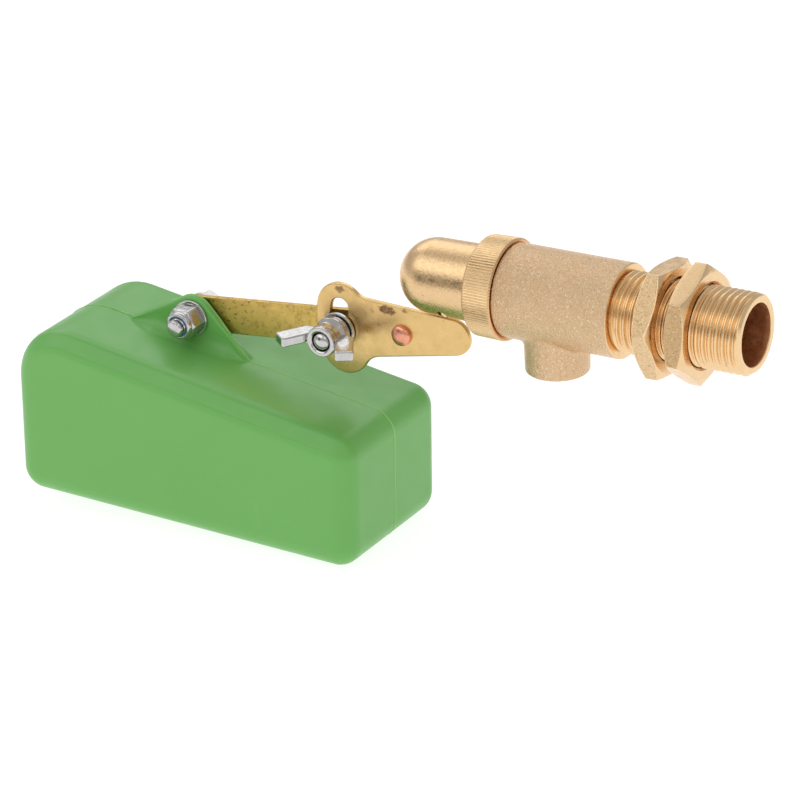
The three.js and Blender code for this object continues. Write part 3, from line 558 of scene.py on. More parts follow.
def barrel_shell():
    """The barrel's outside as one grid with a window round the spout, and rings that lead from the window
    over a fillet and down the spout to its end."""
    segments, patch = 160, 27
    step = TAU / segments
    right, left = -44.6, -68.0
    stations = [STEM_END, STEM_END - 0.05, STEM_END - 0.2, STEM_END - 0.45]
    radii = [BARREL_R - 0.45, BARREL_R - 0.22, BARREL_R - 0.06, BARREL_R]
    stations += list(np.linspace(STEM_END - 1, right, 12))
    window_first = len(stations) - 1
    stations += list(np.linspace(right, left, 46)[1:])
    window_last = len(stations) - 1
    stations += [-68.15, -68.25, -68.32, -68.4, -69.05, -69.15, BARREL_LEFT]
    radii += [BARREL_R] * (window_last + 1 - 4)
    radii += [BARREL_R - less for less in (0.02, 0.08, 0.16, 0.2)] + [11.72, 11.65, 11.65]
    rows, columns = len(stations), segments
    angles = (np.arange(segments) - patch) * step
    station = np.array(stations)[:, None] * np.ones(columns)
    radius = np.array(radii)[:, None] * np.ones(columns)
    grid = np.stack((station, radius * np.sin(angles), -radius * np.cos(angles)), axis=-1)
    verts = [tuple(p) for p in grid.reshape(-1, 3)]
    faces = []
    for i in range(rows - 1):
        for j in range(columns):
            if window_first <= i < window_last and j < 2 * patch:
                continue
            j2 = (j + 1) % columns
            faces.append((i * columns + j, (i + 1) * columns + j, (i + 1) * columns + j2, i * columns + j2))
    rim = [(window_first, j) for j in range(2 * patch)]
    rim += [(i, 2 * patch) for i in range(window_first, window_last)]
    rim += [(window_last, j) for j in range(2 * patch, 0, -1)]
    rim += [(i, 0) for i in range(window_last, window_first, -1)]
    ring = [i * columns + j for i, j in rim]
    flat = np.array([(stations[i] - SPOUT_X, BARREL_R * angles[j]) for i, j in rim])
    bearing = np.arctan2(flat[:, 1], flat[:, 0])
    root = lambda z: SPOUT_ROOT_R + (SPOUT_R - SPOUT_ROOT_R) * (-z / -SPOUT_END)
    cosine, sine = np.cos(bearing), np.sin(bearing)

    def on_barrel(reach):
        return -np.sqrt(BARREL_R ** 2 - (reach * sine) ** 2)

    reach = SPOUT_ROOT_R - 0.12
    start_reach = reach + SPOUT_FILLET * (0.8 + 0.25 * np.abs(cosine))
    flat_start = np.stack((start_reach * cosine, BARREL_R * np.arcsin(start_reach * sine / BARREL_R)), axis=1)

    def add_ring(points):
        nonlocal ring
        first = len(verts)
        verts.extend(tuple(p) for p in points)
        fresh = list(range(first, first + len(points)))
        for k in range(len(ring)):
            k2 = (k + 1) % len(ring)
            faces.append((ring[k], ring[k2], fresh[k2], fresh[k]))
        ring = fresh

    for k in range(1, 8):
        t = 1 - (1 - k / 7) ** 1.3
        spot = flat * (1 - t) + flat_start * t
        turn = spot[:, 1] / BARREL_R
        add_ring(np.stack((SPOUT_X + spot[:, 0], BARREL_R * np.sin(turn), -BARREL_R * np.cos(turn)), axis=1))
    high, corner = on_barrel(start_reach), on_barrel(reach)
    low = corner - SPOUT_FILLET
    for k in range(1, 9):
        t = k / 8
        out = bend(start_reach, reach, root(low), t)
        z = bend(high, corner, low, t)
        add_ring(np.stack((SPOUT_X + out * cosine, out * sine, z), axis=1))
    for t in np.linspace(0, 1, 9)[1:]:
        z = low * (1 - t) + (SPOUT_END + 0.7) * t
        add_ring(np.stack((SPOUT_X + root(z) * cosine, root(z) * sine, z), axis=1))
    for turn in (22.5, 45, 67.5, 90):
        c, s = math.cos(math.radians(turn)), math.sin(math.radians(turn))
        out = SPOUT_R - 0.7 * (1 - c)
        z = np.full(len(cosine), SPOUT_END + 0.7 * (1 - s))
        add_ring(np.stack((SPOUT_X + out * cosine, out * sine, z), axis=1))
    faces.append(tuple(ring))
    faces.append(tuple(range(columns)))
    faces.append(tuple((rows - 1) * columns + j for j in range(columns)))
    return verts, faces


def valve_barrel():
    obj = mesh_object("valve_barrel", *barrel_shell())
    flow = [(-30, 0), (-30, 8.0), (-42.4, 8.0), (-43, 7.4), (-43, 4.4), (-43.4, 4.0), (-49.1, 4.0),
            (-49.25, 4.15), (-49.25, 5.0), (-49.1, 5.2), (-47.0, 5.5), (-46.9, 9.2), (-47.2, 9.5),
            (-72.7, 9.5), (-73.3, 9.9), (-80, 9.9), (-80, 0)]
    waterway = mesh_object("waterway", *grid_mesh(turned(flow, 96)))
    outlet = [(-30, 0), (-30, 7.0), (SPOUT_END - 0.01, 6.75), (SPOUT_END + 0.45, 6.3), (-8.5, 6.3), (-8.5, 0)]
    grid = turned(outlet, 72, "y")
    grid = np.stack((grid[..., 0] + SPOUT_X, -grid[..., 2], grid[..., 1]), axis=-1)
    cut(obj, waterway, mesh_object("outlet", *grid_mesh(grid)))

    def pick(c, n):
        reach = math.hypot(c.y, c.z)
        if c.x > STEM_END - 0.25 or c.x < -68.2 or reach < 10.9 and c.z > -10.5:
            return 1
        return 1 if math.hypot(c.x - SPOUT_X, c.y) < 6.9 and c.z < -10 else 0

    finish_piece(obj, "valve", [CAST, TURNED], pick, ["valve_body"], angle=35)


# Hexagons
def hexagon_reach(flats, rounding, angles):
    """Distance from the centre to a hexagon with rounded corners, at angles from the middle of a flat."""
    half = flats / 2
    folded = (angles + math.pi / 6) % (math.pi / 3) - math.pi / 6
    centre = (half - rounding) / math.cos(math.pi / 6)
    edge = math.atan((half - rounding) * math.tan(math.pi / 6) / half)
    off = math.pi / 6 - np.abs(folded)
    inside = rounding ** 2 - (centre * np.sin(off)) ** 2
    round_reach = centre * np.cos(off) + np.sqrt(np.maximum(inside, 0))
    return np.where(np.abs(folded) <= edge, half / np.cos(folded), round_reach)


def hexagon_angles(flats, rounding, steps):
    """Angles round a hexagon, close together over its rounded corners."""
    half = flats / 2
    edge = math.atan((half - rounding) * math.tan(math.pi / 6) / half)
    one = np.concatenate((np.linspace(-edge, edge, steps, endpoint=False),
                          np.linspace(edge, math.pi / 3 - edge, 6, endpoint=False)))
    return np.concatenate([one + k * math.pi / 3 for k in range(6)])


def hexagonal(flats, rounding, steps, column):
    """A grid of (along, across, up) points: at each angle, column gives the (station, radius) pairs."""
    angles = hexagon_angles(flats, rounding, steps)
    rows = []
    for angle, reach in zip(angles, hexagon_reach(flats, rounding, angles)):
        rows.append([(x, r * math.cos(angle), r * math.sin(angle)) for x, r in column(reach)])
    return np.array(rows)


def hexagon_side(reach, low, high, face_r, chamfer, both):
    """The outside of one column of a hexagonal prism: chamfer cones at its ends and a flat between them."""
    corner_run = reach - face_r
    top = high - corner_run * chamfer
    bottom = low + corner_run * chamfer if both else low
    wear = 0.16
    cone = [((corner_run - wear) * chamfer * t, face_r + (corner_run - wear) * t) for t in (0.35, 0.7, 1.0)]
    column = [(high, face_r - 0.5), (high, face_r - 0.12), (high - 0.03, face_r + 0.05)]
    column += [(high - down, r) for down, r in cone]
    column += [(top - 0.02, reach - 0.03), (top - wear, reach)]
    column += [(top - wear + (bottom + wear - top + wear) * t, reach) for t in (0.25, 0.5, 0.75)]
    column += [(bottom + wear, reach), (bottom + 0.02, reach - 0.03)]
    if both:
        column += [(low + up, r) for up, r in reversed(cone)]
        column += [(low + 0.03, face_r + 0.05), (low, face_r - 0.12), (low, face_r - 0.5)]
    else:
        column += [(low, reach - 0.15), (low, face_r - 0.5)]
    return column


# Lock nuts
NUT_FLATS = 27.4
NUT_THICK = 5.4
NUT_FACE_R = 13.5
NUT_CHAMFER = 1.15
NUT_MOUTH_R = 11.35
NUT_BORE_R = 10.66
NUT_THREAD_DEPTH = 0.55


def lock_nut(name, node, body, centre, turn, sandy):
    half = NUT_THICK / 2
    slope = NUT_CHAMFER / (NUT_FLATS / math.sqrt(3) - NUT_FACE_R)
    mouth = [(half - 0.45, NUT_BORE_R + 0.06), (half - 0.05, NUT_MOUTH_R - 0.15), (half, NUT_MOUTH_R)]
    bore = [(-x, r) for x, r in reversed(mouth)]
    bore += [(x, NUT_BORE_R) for x in np.arange(-half + 0.6, half - 0.5, PITCH / 10)]
    bore += mouth

    def column(reach):
        return hexagon_side(reach, -half, half, NUT_FACE_R, slope, True) + bore

    x, y, z = np.moveaxis(hexagonal(NUT_FLATS, 0.5, 14, column), -1, 0)
    radius = np.hypot(y, z)
    angle = np.arctan2(z, y)
    wave = 0.5 - 0.5 * np.cos(TAU * (x / PITCH + angle / TAU))
    thread = (radius < NUT_BORE_R + 0.04) * NUT_THREAD_DEPTH * wave
    radius = radius + thread
    angle = angle + math.radians(turn)
    grid = np.stack((x + centre, radius * np.cos(angle), radius * np.sin(angle)), axis=-1)
    obj = mesh_object(name, *grid_mesh(grid))

    def pick(c, n):
        if math.hypot(c.y, c.z) < NUT_MOUTH_R + 0.05:
            return 2
        return 0 if abs(n.x) < 0.1 and n.y < -0.75 else 1

    paints = [NUT_SANDY if sandy else NUT_DULL, NUT_SMOOTH, RECESS_SHADE]
    finish_piece(obj, body, paints, pick, [node], angle=28)


# Knurled ring nut
def ring_nut():
    ridges, per = 106, 10
    corners = [(-68.42, 12.16, 0.05), (-68.3, 12.85, 0.12), (-68.7, 13.34, 0.14), (-76.0, 13.12, 0.2),
               (-76.7, 12.35, 0.3), (-76.7, 10.45, 0.12), (-75.45, 10.4, 0.1), (-75.45, 12.16, 0.1)]
    grid = turned_ring(corners, 3, 0.9, ridges * per)
    x = grid[..., 0]
    radius = np.hypot(grid[..., 1], grid[..., 2])
    phase = (np.arange(ridges * per) % per / per)[:, None]
    tooth = np.abs(2 * phase - 1) ** 1.4
    depth = 0.2 * np.clip((-68.55 - x) / 0.15, 0, 1) * (radius > 12.4) * np.clip((x + 76.5) / 0.3, 0.25, 1)
    grid[..., 1:] *= (1 - depth * tooth / radius)[..., None]
    obj = mesh_object("knurled_ring", *grid_mesh(grid))
    pick = lambda c, n: 0 if c.x < -68.6 and math.hypot(c.y, c.z) > 12.3 else 1
    finish_piece(obj, "ring", [KNURLED, RECESS_SHADE], pick, ["ring_nut"], angle=60)


# Domed cap and its pin
CAP_ROOT_R = 10.15
CAP_R = 9.92
CAP_DOME_X = -90.5
PIVOT = (-86.0, -7.6)
SLOT_HALF = 1.05


def domed_cap():
    root_x, wall = -75.25, 1.5
    inner = CAP_R - wall
    profile = [(-73.8, 10.0), (-73.65, 10.4), (-73.65, 11.5), (-73.8, 11.65), (-74.9, 11.65), (-75.1, 11.5),
               (-75.1, CAP_ROOT_R + 0.12), (root_x, CAP_ROOT_R)]
    for x in np.linspace(-76, CAP_DOME_X, 14):
        profile.append((x, CAP_ROOT_R + (CAP_R - CAP_ROOT_R) * (x - root_x) / (CAP_DOME_X - root_x)))
    profile += arc(CAP_DOME_X, 0, CAP_R, 90, 180, 32)[1:-1] + [(CAP_DOME_X - CAP_R, 0)]
    profile += [(CAP_DOME_X - inner, 0)] + arc(CAP_DOME_X, 0, inner, 180, 90, 16)[1:] + [(-80, inner)]
    obj = mesh_object("domed_cap", *grid_mesh(turned(profile, 128)))
    slot = mesh_object("slot", *slot_block())
    hole = turned([(-12, 0), (-12, 1.35), (12, 1.35), (12, 0)], 32, "y") + np.array((PIVOT[0], 0, PIVOT[1]))
    cut(obj, slot, mesh_object("hole", *grid_mesh(hole)))
    skin_r = 9.3

    def pick(c, n):
        past_dome = c.x < CAP_DOME_X and (c - Vector((CAP_DOME_X, 0, 0))).length > skin_r
        return 0 if past_dome or math.hypot(c.y, c.z) > skin_r else 1

    finish_piece(obj, "cap", [POLISHED, RECESS_SHADE], pick, ["dome_cap"], angle=32)


def slot_block():
    low, high = (-102, -SLOT_HALF, -12), (-80.4, SLOT_HALF, -3.0)
    verts = [(x, y, z) for x in (low[0], high[0]) for y in (low[1], high[1]) for z in (low[2], high[2])]
    faces = [(0, 1, 3, 2), (4, 6, 7, 5), (0, 4, 5, 1), (2, 3, 7, 6), (0, 2, 6, 4), (1, 5, 7, 3)]
    return verts, faces


def pivot_pin():
    end = [(5.4, 1.04), (5.62, 0.9), (5.76, 0.55), (5.78, 0)]
    profile = [(-y, r) for y, r in reversed(end)] + [(y, 1.05) for y in np.linspace(-5.2, 5.2, 9)] + end
    grid = turned(profile, 32, "y") + np.array((PIVOT[0], 0, PIVOT[1]))
    obj = mesh_object("peened_pin", *grid_mesh(grid, wrap_columns=False))
    finish_piece(obj, "cap", [NUT_SMOOTH], None, ["pivot_pin"], angle=40)


# Sheet plates with rounded edges
def offset_loop(loop, distance):
    """A closed loop of XZ points moved towards its left side by a distance."""
    points = np.array(loop, float)
    before = points - np.roll(points, 1, axis=0)
    after = np.roll(points, -1, axis=0) - points
    before /= np.linalg.norm(before, axis=1)[:, None]
    after /= np.linalg.norm(after, axis=1)[:, None]
    normals = np.stack((-before[:, 1] - after[:, 1], before[:, 0] + after[:, 0]), axis=1)
    lengths = np.linalg.norm(normals, axis=1)[:, None]
    normals /= lengths
    return points + normals * distance * (2 / np.maximum(lengths, 1.2))


def tidy_loop(loop, least=0.02):
    points = []
    for point in loop:
        if not points or math.dist(points[-1], point) > least:
            points.append(point)
    if math.dist(points[0], points[-1]) <= least:
        points.pop()
    area = sum(a[0] * b[1] - b[0] * a[1] for a, b in zip(points, points[1:] + points[:1]))
    return points if area > 0 else points[::-1]


def plate(outline, holes, front, back, edge, steps=5):
    """A flat plate in XZ between y = front and y = back, with rounded edges. Returns its points and faces."""
    loops = [tidy_loop(outline)] + [tidy_loop(hole)[::-1] for hole in holes]
    verts, faces, rims = [], [], {front: [], back: []}
    for loop in loops:
        count = len(loop)
        levels = []
        for k in range(steps + 1):
            turn = math.radians(90 * k / steps)
            levels.append((edge * (1 - math.sin(turn)), front + edge * (1 - math.cos(turn))))
        middle = (front + back) / 2
        levels += [(inset, 2 * middle - y) for inset, y in reversed(levels)]
        first = len(verts)
        for inset, y in levels:
            verts.extend((x, y, z) for x, z in offset_loop(loop, inset))
        faces += quads(len(levels), count, start=first, wrap_rows=False)
        rims[front].append(range(first, first + count))
        rims[back].append(range(first + count * (len(levels) - 1), first + count * len(levels)))
    for rim_loops in rims.values():
        numbers = [i for rim in rim_loops for i in rim]
        flat = [[Vector((verts[i][0], verts[i][2], 0)) for i in rim] for rim in rim_loops]
        for triangle in tessellate_polygon(flat):
            faces.append(tuple(numbers[i] for i in triangle))
    return np.array(verts), faces


RIVET = np.array((-101.8, 0.0, -18.3))
LEVER_TILT = 4.3
LEVER_HALF = 0.75
ARC_R = 19.2
ARC_TURN = 17.6
HOOK_ARC_R = 18.9
HOOK_TURN = 16.8
SLOT_R = 2.62
LOBE_R = 7.15
SHANK_END = 15.3
SHANK_CENTRE = 0.85
SHANK_HALF = 6.9
SHANK_TAPER = 0.12


def hook_fillet(sign, fillet):
    along = np.array((1.0, -sign * SHANK_TAPER))
    along /= np.linalg.norm(along)
    outward = sign * np.array((-along[1], along[0]))
    turn = math.radians(HOOK_TURN)
    lobe = np.array((-HOOK_ARC_R * math.cos(turn), sign * HOOK_ARC_R * math.sin(turn)))
    offset = np.array((0.0, SHANK_CENTRE + sign * SHANK_HALF)) + outward * fillet - lobe
    reach = LOBE_R + fillet
    on = float(offset @ along)
    run = -on + math.sqrt(reach ** 2 - float(offset @ offset) + on ** 2)
    centre = lobe + offset + along * run
    bearing = lambda v: math.degrees(math.atan2(v[1], v[0]))
    return centre, lobe, bearing(-outward), bearing(lobe - centre)


def lever_outline():
    top_fillet, bottom_fillet = 5.0, 6.5
    top, bottom = hook_fillet(1, top_fillet), hook_fillet(-1, bottom_fillet)
    lean = math.degrees(math.atan(SHANK_TAPER))
    end_r = (SHANK_HALF - SHANK_TAPER * SHANK_END) * math.cos(math.radians(lean))
    near = lambda angle, base: (angle - base + 180) % 360 - 180 + base
    points = arc(SHANK_END, SHANK_CENTRE, end_r, -90 + lean, 90 - lean, 30)
    points += arc(*top[0], top_fillet, top[2], near(top[3], top[2]), 12)
    start = near(top[3] + 180, 90)
    points += arc(*top[1], LOBE_R, start, 180 - HOOK_TURN, 22)
    points += arc(0, 0, HOOK_ARC_R + LOBE_R, 180 - HOOK_TURN, 180 + HOOK_TURN, 26)
    points += arc(*bottom[1], LOBE_R, 180 + HOOK_TURN, near(bottom[3] + 180, 270), 22)
    points += arc(*bottom[0], bottom_fillet, bottom[3], near(bottom[2], bottom[3]), 12)
    return points


def arc_slot():
    low, high = 180 + ARC_TURN, 180 - ARC_TURN
    turn = math.radians(ARC_TURN)
    points = arc(0, 0, ARC_R + SLOT_R, high, low, 24)
    points += arc(-ARC_R * math.cos(turn), -ARC_R * math.sin(turn), SLOT_R, low, low + 180, 14)
    points += arc(0, 0, ARC_R - SLOT_R, low, high, 24)
    points += arc(-ARC_R * math.cos(turn), ARC_R * math.sin(turn), SLOT_R, high + 180, high + 360, 14)
    return points


def lever_plate():
    verts, faces = plate(lever_outline(), [arc_slot()], -LEVER_HALF, LEVER_HALF, 0.36)
    obj = mesh_object("lever_sheet", about_y(verts, -LEVER_TILT) + RIVET, faces)
    finish_piece(obj, "lever", [SHEET], None, ["lever_plate"], angle=40)
    hub = np.array(PIVOT)
    lean = math.radians(11)
    along = np.array((-math.sin(lean), math.cos(lean)))
    tip = hub + 7.8 * along
    side = np.array((along[1], -along[0]))
    finger = arc(*hub, 3.1, 180 + 40, 360 - 40, 14)
    bearing = math.degrees(math.atan2(side[1], side[0]))
    finger += [tuple(hub + side * 1.5 + along * 2.6)]
    finger += arc(*tip, 2.2, bearing - 40, bearing + 220, 16)
    finger += [tuple(hub - side * 1.5 + along * 2.6)]
    half = LEVER_HALF - 0.02
    verts, faces = plate(finger, [arc(*hub, 1.4, 0, 348, 23)], -half, half, 0.25, 3)
    obj = mesh_object("lever_finger", verts, faces)
    finish_piece(obj, "lever", [SHEET], None, ["lever_plate"], angle=40)


def lever_rivet():
    front, back = -LEVER_HALF + 0.02, 2.57
    head = [(-1.72, 0), (-1.68, 0.8), (-1.56, 1.5), (-1.36, 2.05), (-1.14, 2.46), (-0.9, 2.7), (-0.6, 2.8),
            (-0.2, 2.78), (0, 2.66)]
    profile = [(front + y, r) for y, r in head] + [(front + 0.05, 2.0), (back - 0.05, 2.0)]
    profile += [(back - y, r) for y, r in reversed(head)]
    grid = turned(profile, 48, "y")
    swell = 1 + 0.02 * np.sin(3 * np.arctan2(grid[..., 2], grid[..., 0]) + 1)
    grid[..., 0] *= swell
    grid[..., 2] *= swell
    obj = mesh_object("rivet", *grid_mesh(grid + RIVET, wrap_columns=False))
    finish_piece(obj, "lever", [COPPER], None, ["lever_rivet"], angle=50)


# Arm bar
FLOAT_BOLT = np.array((-166.4, 0.0, -24.5))
ARM_RUN = RIVET - FLOAT_BOLT
ARM_LENGTH = float(np.linalg.norm(ARM_RUN))
ARM_TILT = math.degrees(math.atan2(ARM_RUN[2], ARM_RUN[0]))
CLAMP = RIVET - ARM_RUN / ARM_LENGTH * ARC_R
BAR_FRONT, BAR_BACK = 1.05, 2.55


def arm_bar():
    outline = arc(0, 0, 5.0, -90, 90, 26) + arc(-ARM_LENGTH, 0, 5.0, 90, 270, 26)
    holes = [arc(x, 0, radius, 0, 350, 35) for x, radius in ((0, 2.3), (-ARC_R, 2.7), (-ARM_LENGTH, 2.7))]
    verts, faces = plate(outline, holes, BAR_FRONT, BAR_BACK, 0.22, 4)
    obj = mesh_object("arm_strip", about_y(verts, -ARM_TILT) + RIVET, faces)
    finish_piece(obj, "arm", [DULL], None, ["arm_bar"], angle=40)


# Washers and bolts about a Y axis
HEAD_FLATS = 8.0
HEAD_ROUNDING = 0.3
HEAD_THICK = 3.5
BOLT_R = 2.4
BOLT_PITCH = 0.8


def washer(name, node, at, low, thick, radius):
    corners = [(low, 2.7, 0.06), (low, radius, 0.22), (low + thick, radius, 0.22), (low + thick, 2.7, 0.06)]
    grid = turned_ring(corners, 4, 1.0, 72, "y")
    obj = mesh_object(name, *grid_mesh(grid + at))
    finish_piece(obj, "arm", [STEEL], None, [node], angle=50)


def spring_washer():
    low, high, gap, turn = -3.65, -2.35, 4.0, 35.0
    corners = [(low, 2.75, 0.1), (low, 4.4, 0.18), (high, 4.4, 0.18), (high, 2.75, 0.1)]
    profile = np.array(refine(soften(corners, 3), 0.8))
    rows = []
    for angle in np.linspace(gap, 360 - gap, 70):
        lean = 0.12 * (angle - 180) / 180
        a = math.radians(angle)
        rows.append([(r * math.cos(a), y * 0.86 - 0.42 + lean, r * math.sin(a)) for y, r in profile])
    grid = np.array(rows)
    verts, faces = grid_mesh(grid, wrap_rows=False)
    count = len(profile)
    faces.append(tuple(range(count)))
    faces.append(tuple(range(len(verts) - count, len(verts))))
    obj = mesh_object("split_washer", about_y(verts, turn) + CLAMP, faces)
    finish_piece(obj, "arm", [DARK_STEEL], None, ["wing_spring_washer"], angle=45)


def hex_bolt(name, node, at, seat, end, domed):
    """A bolt whose head sits on y = seat and whose end, domed or chamfered, is at y = end."""
    head = seat + HEAD_THICK
    thread_floor = BOLT_R - 0.2
    shank = [(y, BOLT_R) for y in np.arange(seat - 0.5, end + 1.6, -0.1)]
    if domed:
        turns = np.linspace(math.pi / 2, 0, 10)[1:]
        tip = [(end + 1.5 * (1 - math.cos(a)), BOLT_R * math.sin(a)) for a in turns]
    else:
        tip = [(end + 0.62, BOLT_R), (end + 0.3, BOLT_R - 0.16), (end + 0.06, BOLT_R - 0.4),
               (end, BOLT_R - 0.55), (end, 0)]

    def column(reach):
        side = hexagon_side(reach, seat, head, 3.8, 0.62, False)
        return [(head - 0.12, 0), (head - 0.12, 2.0), (head, 2.3), *side,
                (seat, BOLT_R + 0.2), (seat - 0.2, BOLT_R), *shank, *tip]

    plain = hexagonal(HEAD_FLATS, HEAD_ROUNDING, 10, column)
    if domed:
        ridged = threaded(plain, BOLT_PITCH, 0.42, seat - 1, end + 1.9, 0.5, thread_floor)
    else:
        ridged = threaded(plain, BOLT_PITCH, 0.24, -6.0, end + 0.8, 0.4, thread_floor)
    grid = np.where((plain[..., 0] > seat - 0.4)[..., None], plain, ridged)[..., [1, 0, 2]]
    obj = mesh_object(name, *grid_mesh(grid + at, wrap_columns=False))
    finish_piece(obj, "arm", [STEEL], None, [node], angle=38)


# Wing nut. A wing's outline in its own plane is a chain of curves, each from its first
# (distance from the axis, y) point to its third, leaning towards its second, and a number of points
WING_CURVES = (((3.0, -4.7), (6.2, -4.6), (7.4, -5.4), 6),
               ((8.6, -7.6), (10.2, -10.4), (11.35, -12.4), 6),
               ((11.45, -12.6), (11.9, -13.3), (11.3, -13.7), 5),
               ((10.6, -14.1), (9.6, -14.9), (8.7, -15.5), 4),
               ((8.55, -15.6), (7.8, -16.0), (7.35, -15.3), 5),
               ((7.2, -15.0), (5.6, -12.0), (4.5, -9.9), 6),
               ((4.3, -9.5), (3.9, -8.4), (3.0, -8.0), 5))


def wing_outline():
    return [tuple(bend(*np.array(curve), t)) for *curve, count in WING_CURVES for t in np.linspace(0, 1, count)]


def wing_nut():
    corners = [(-3.95, 2.7, 0.1), (-3.95, 4.7, 0.3), (-4.9, 4.75, 0.35), (-6.2, 3.9, 0.8), (-7.8, 3.8, 0.6),
               (-8.5, 4.2, 0.4), (-10.35, 4.15, 0.4), (-10.35, 3.2, 0.2), (-10.0, 2.72, 0.1)]
    boss = turned_ring(corners, 4, 0.5, 96, "y")
    parts = [grid_mesh(boss)]
    half = 1.32
    verts, faces = plate(wing_outline(), [], -half, half, 0.4, 4)
    wing = np.stack((verts[:, 0], verts[:, 2], -verts[:, 1]), axis=1)
    for turn in (0, 180):
        parts.append((about_y(wing, turn), faces))
    verts = np.concatenate([part[0] for part in parts])
    offset, joined = 0, []
    for part_verts, part_faces in parts:
        joined += [tuple(i + offset for i in face) for face in part_faces]
        offset += len(part_verts)
    obj = mesh_object("wing_nut_casting", about_y(verts, 3.3) + CLAMP, joined)
    remesh = obj.modifiers.new("remesh", "REMESH")
    remesh.mode = "VOXEL"
    remesh.voxel_size = 0.12 * MM
    smooth = obj.modifiers.new("smooth", "SMOOTH")
    smooth.factor = 0.5
    smooth.iterations = 3
    apply_modifiers(obj)
    finish_piece(obj, "wing", [STEEL], None, ["wing_nut"], angle=180)


# Float lock nut with its nylon ring
def float_lock_nut():
    seat, hex_front, front = -2.95, -7.7, -9.0
    collar = [(hex_front - 0.08, 3.82), (hex_front - 0.5, 3.8), (hex_front - 0.85, 3.74),
              (hex_front - 1.1, 3.6), (front + 0.06, 3.35), (front, 3.12), (front + 0.04, 2.92),
              (front + 0.2, 2.8), (front + 0.5, 2.8), (hex_front, 2.8), (hex_front + 0.4, 2.65),
              (seat - 0.4, 2.65), (seat, 3.0)]

    def column(reach):
        side = hexagon_side(reach, -seat, -hex_front, 3.85, 0.75, False)
        return collar + [(-y, r) for y, r in reversed(side)]

    grid = hexagonal(HEAD_FLATS, HEAD_ROUNDING, 10, column)[..., [1, 0, 2]]
    obj = mesh_object("nyloc_nut", *grid_mesh(about_y(grid, 30) + FLOAT_BOLT))
    finish_piece(obj, "arm", [STEEL], None, ["float_lock_nut"], angle=38)
    corners = [(-8.85, 2.46, 0.1), (-8.85, 2.78, 0.1), (-7.65, 2.78, 0.1), (-7.65, 2.46, 0.1)]
    ring = turned_ring(corners, 3, 0.5, 64, "y")
    obj = mesh_object("nylon_ring", *grid_mesh(ring + FLOAT_BOLT))
    finish_piece(obj, "arm", [BLUE], None, ["float_nut_insert"], angle=60)


# Float
FLOAT_AT = np.array((-211.8, -1.3, -74.4))
FLOAT_PITCH = 2.1
FLOAT_LENGTH, FLOAT_TALL, FLOAT_SHORT = 105.6, 50.4, 36.7
FLOAT_HALF = 23.0
FLOAT_EDGE = 5.5
FOOT_LEFT, FOOT_RIGHT = 24.0, 61.0
LUG_FRONT, LUG_REAR, LUG_LEAN = 0.6, 2.0, 1.0
LUG_FOOT_HALF = 1.5
LUG_ROOT = 4.2
TIP_R = 6.0


def float_in_place(points):
    return about_y(points, FLOAT_PITCH) + FLOAT_AT


def float_top(along):
    return FLOAT_TALL + (FLOAT_SHORT - FLOAT_TALL) * along / FLOAT_LENGTH


def bolt_in_float():
    offset = FLOAT_BOLT - FLOAT_AT
    turned_back = about_y(offset, -FLOAT_PITCH)
    return float(turned_back[0]), float(turned_back[2])


def lug_height(along):
    """How far the lug's edge stands above the float's top."""
    x, z = bolt_in_float()
    heights = np.zeros_like(along)
    for foot, side in ((FOOT_LEFT, 1), (FOOT_RIGHT, -1)):
        base = float_top(foot)
        run, rise = x - foot, z - base
        angle = math.atan2(rise, run) + side * math.asin(TIP_R / math.hypot(run, rise))
        touch = foot + math.sqrt(run ** 2 + rise ** 2 - TIP_R ** 2) * math.cos(angle)
        line = base + (along - foot) * math.tan(angle)
        use = (along >= foot) & (along <= touch) if side > 0 else (along <= foot) & (along >= touch)
        heights = np.where(use, line - float_top(along), heights)
        if side > 0:
            left_touch = touch
        else:
            right_touch = touch
    round_part = (along > left_touch) & (along < right_touch)
    dome = z + np.sqrt(np.maximum(TIP_R ** 2 - (along - x) ** 2, 0))
    return np.where(round_part, dome - float_top(along), heights)


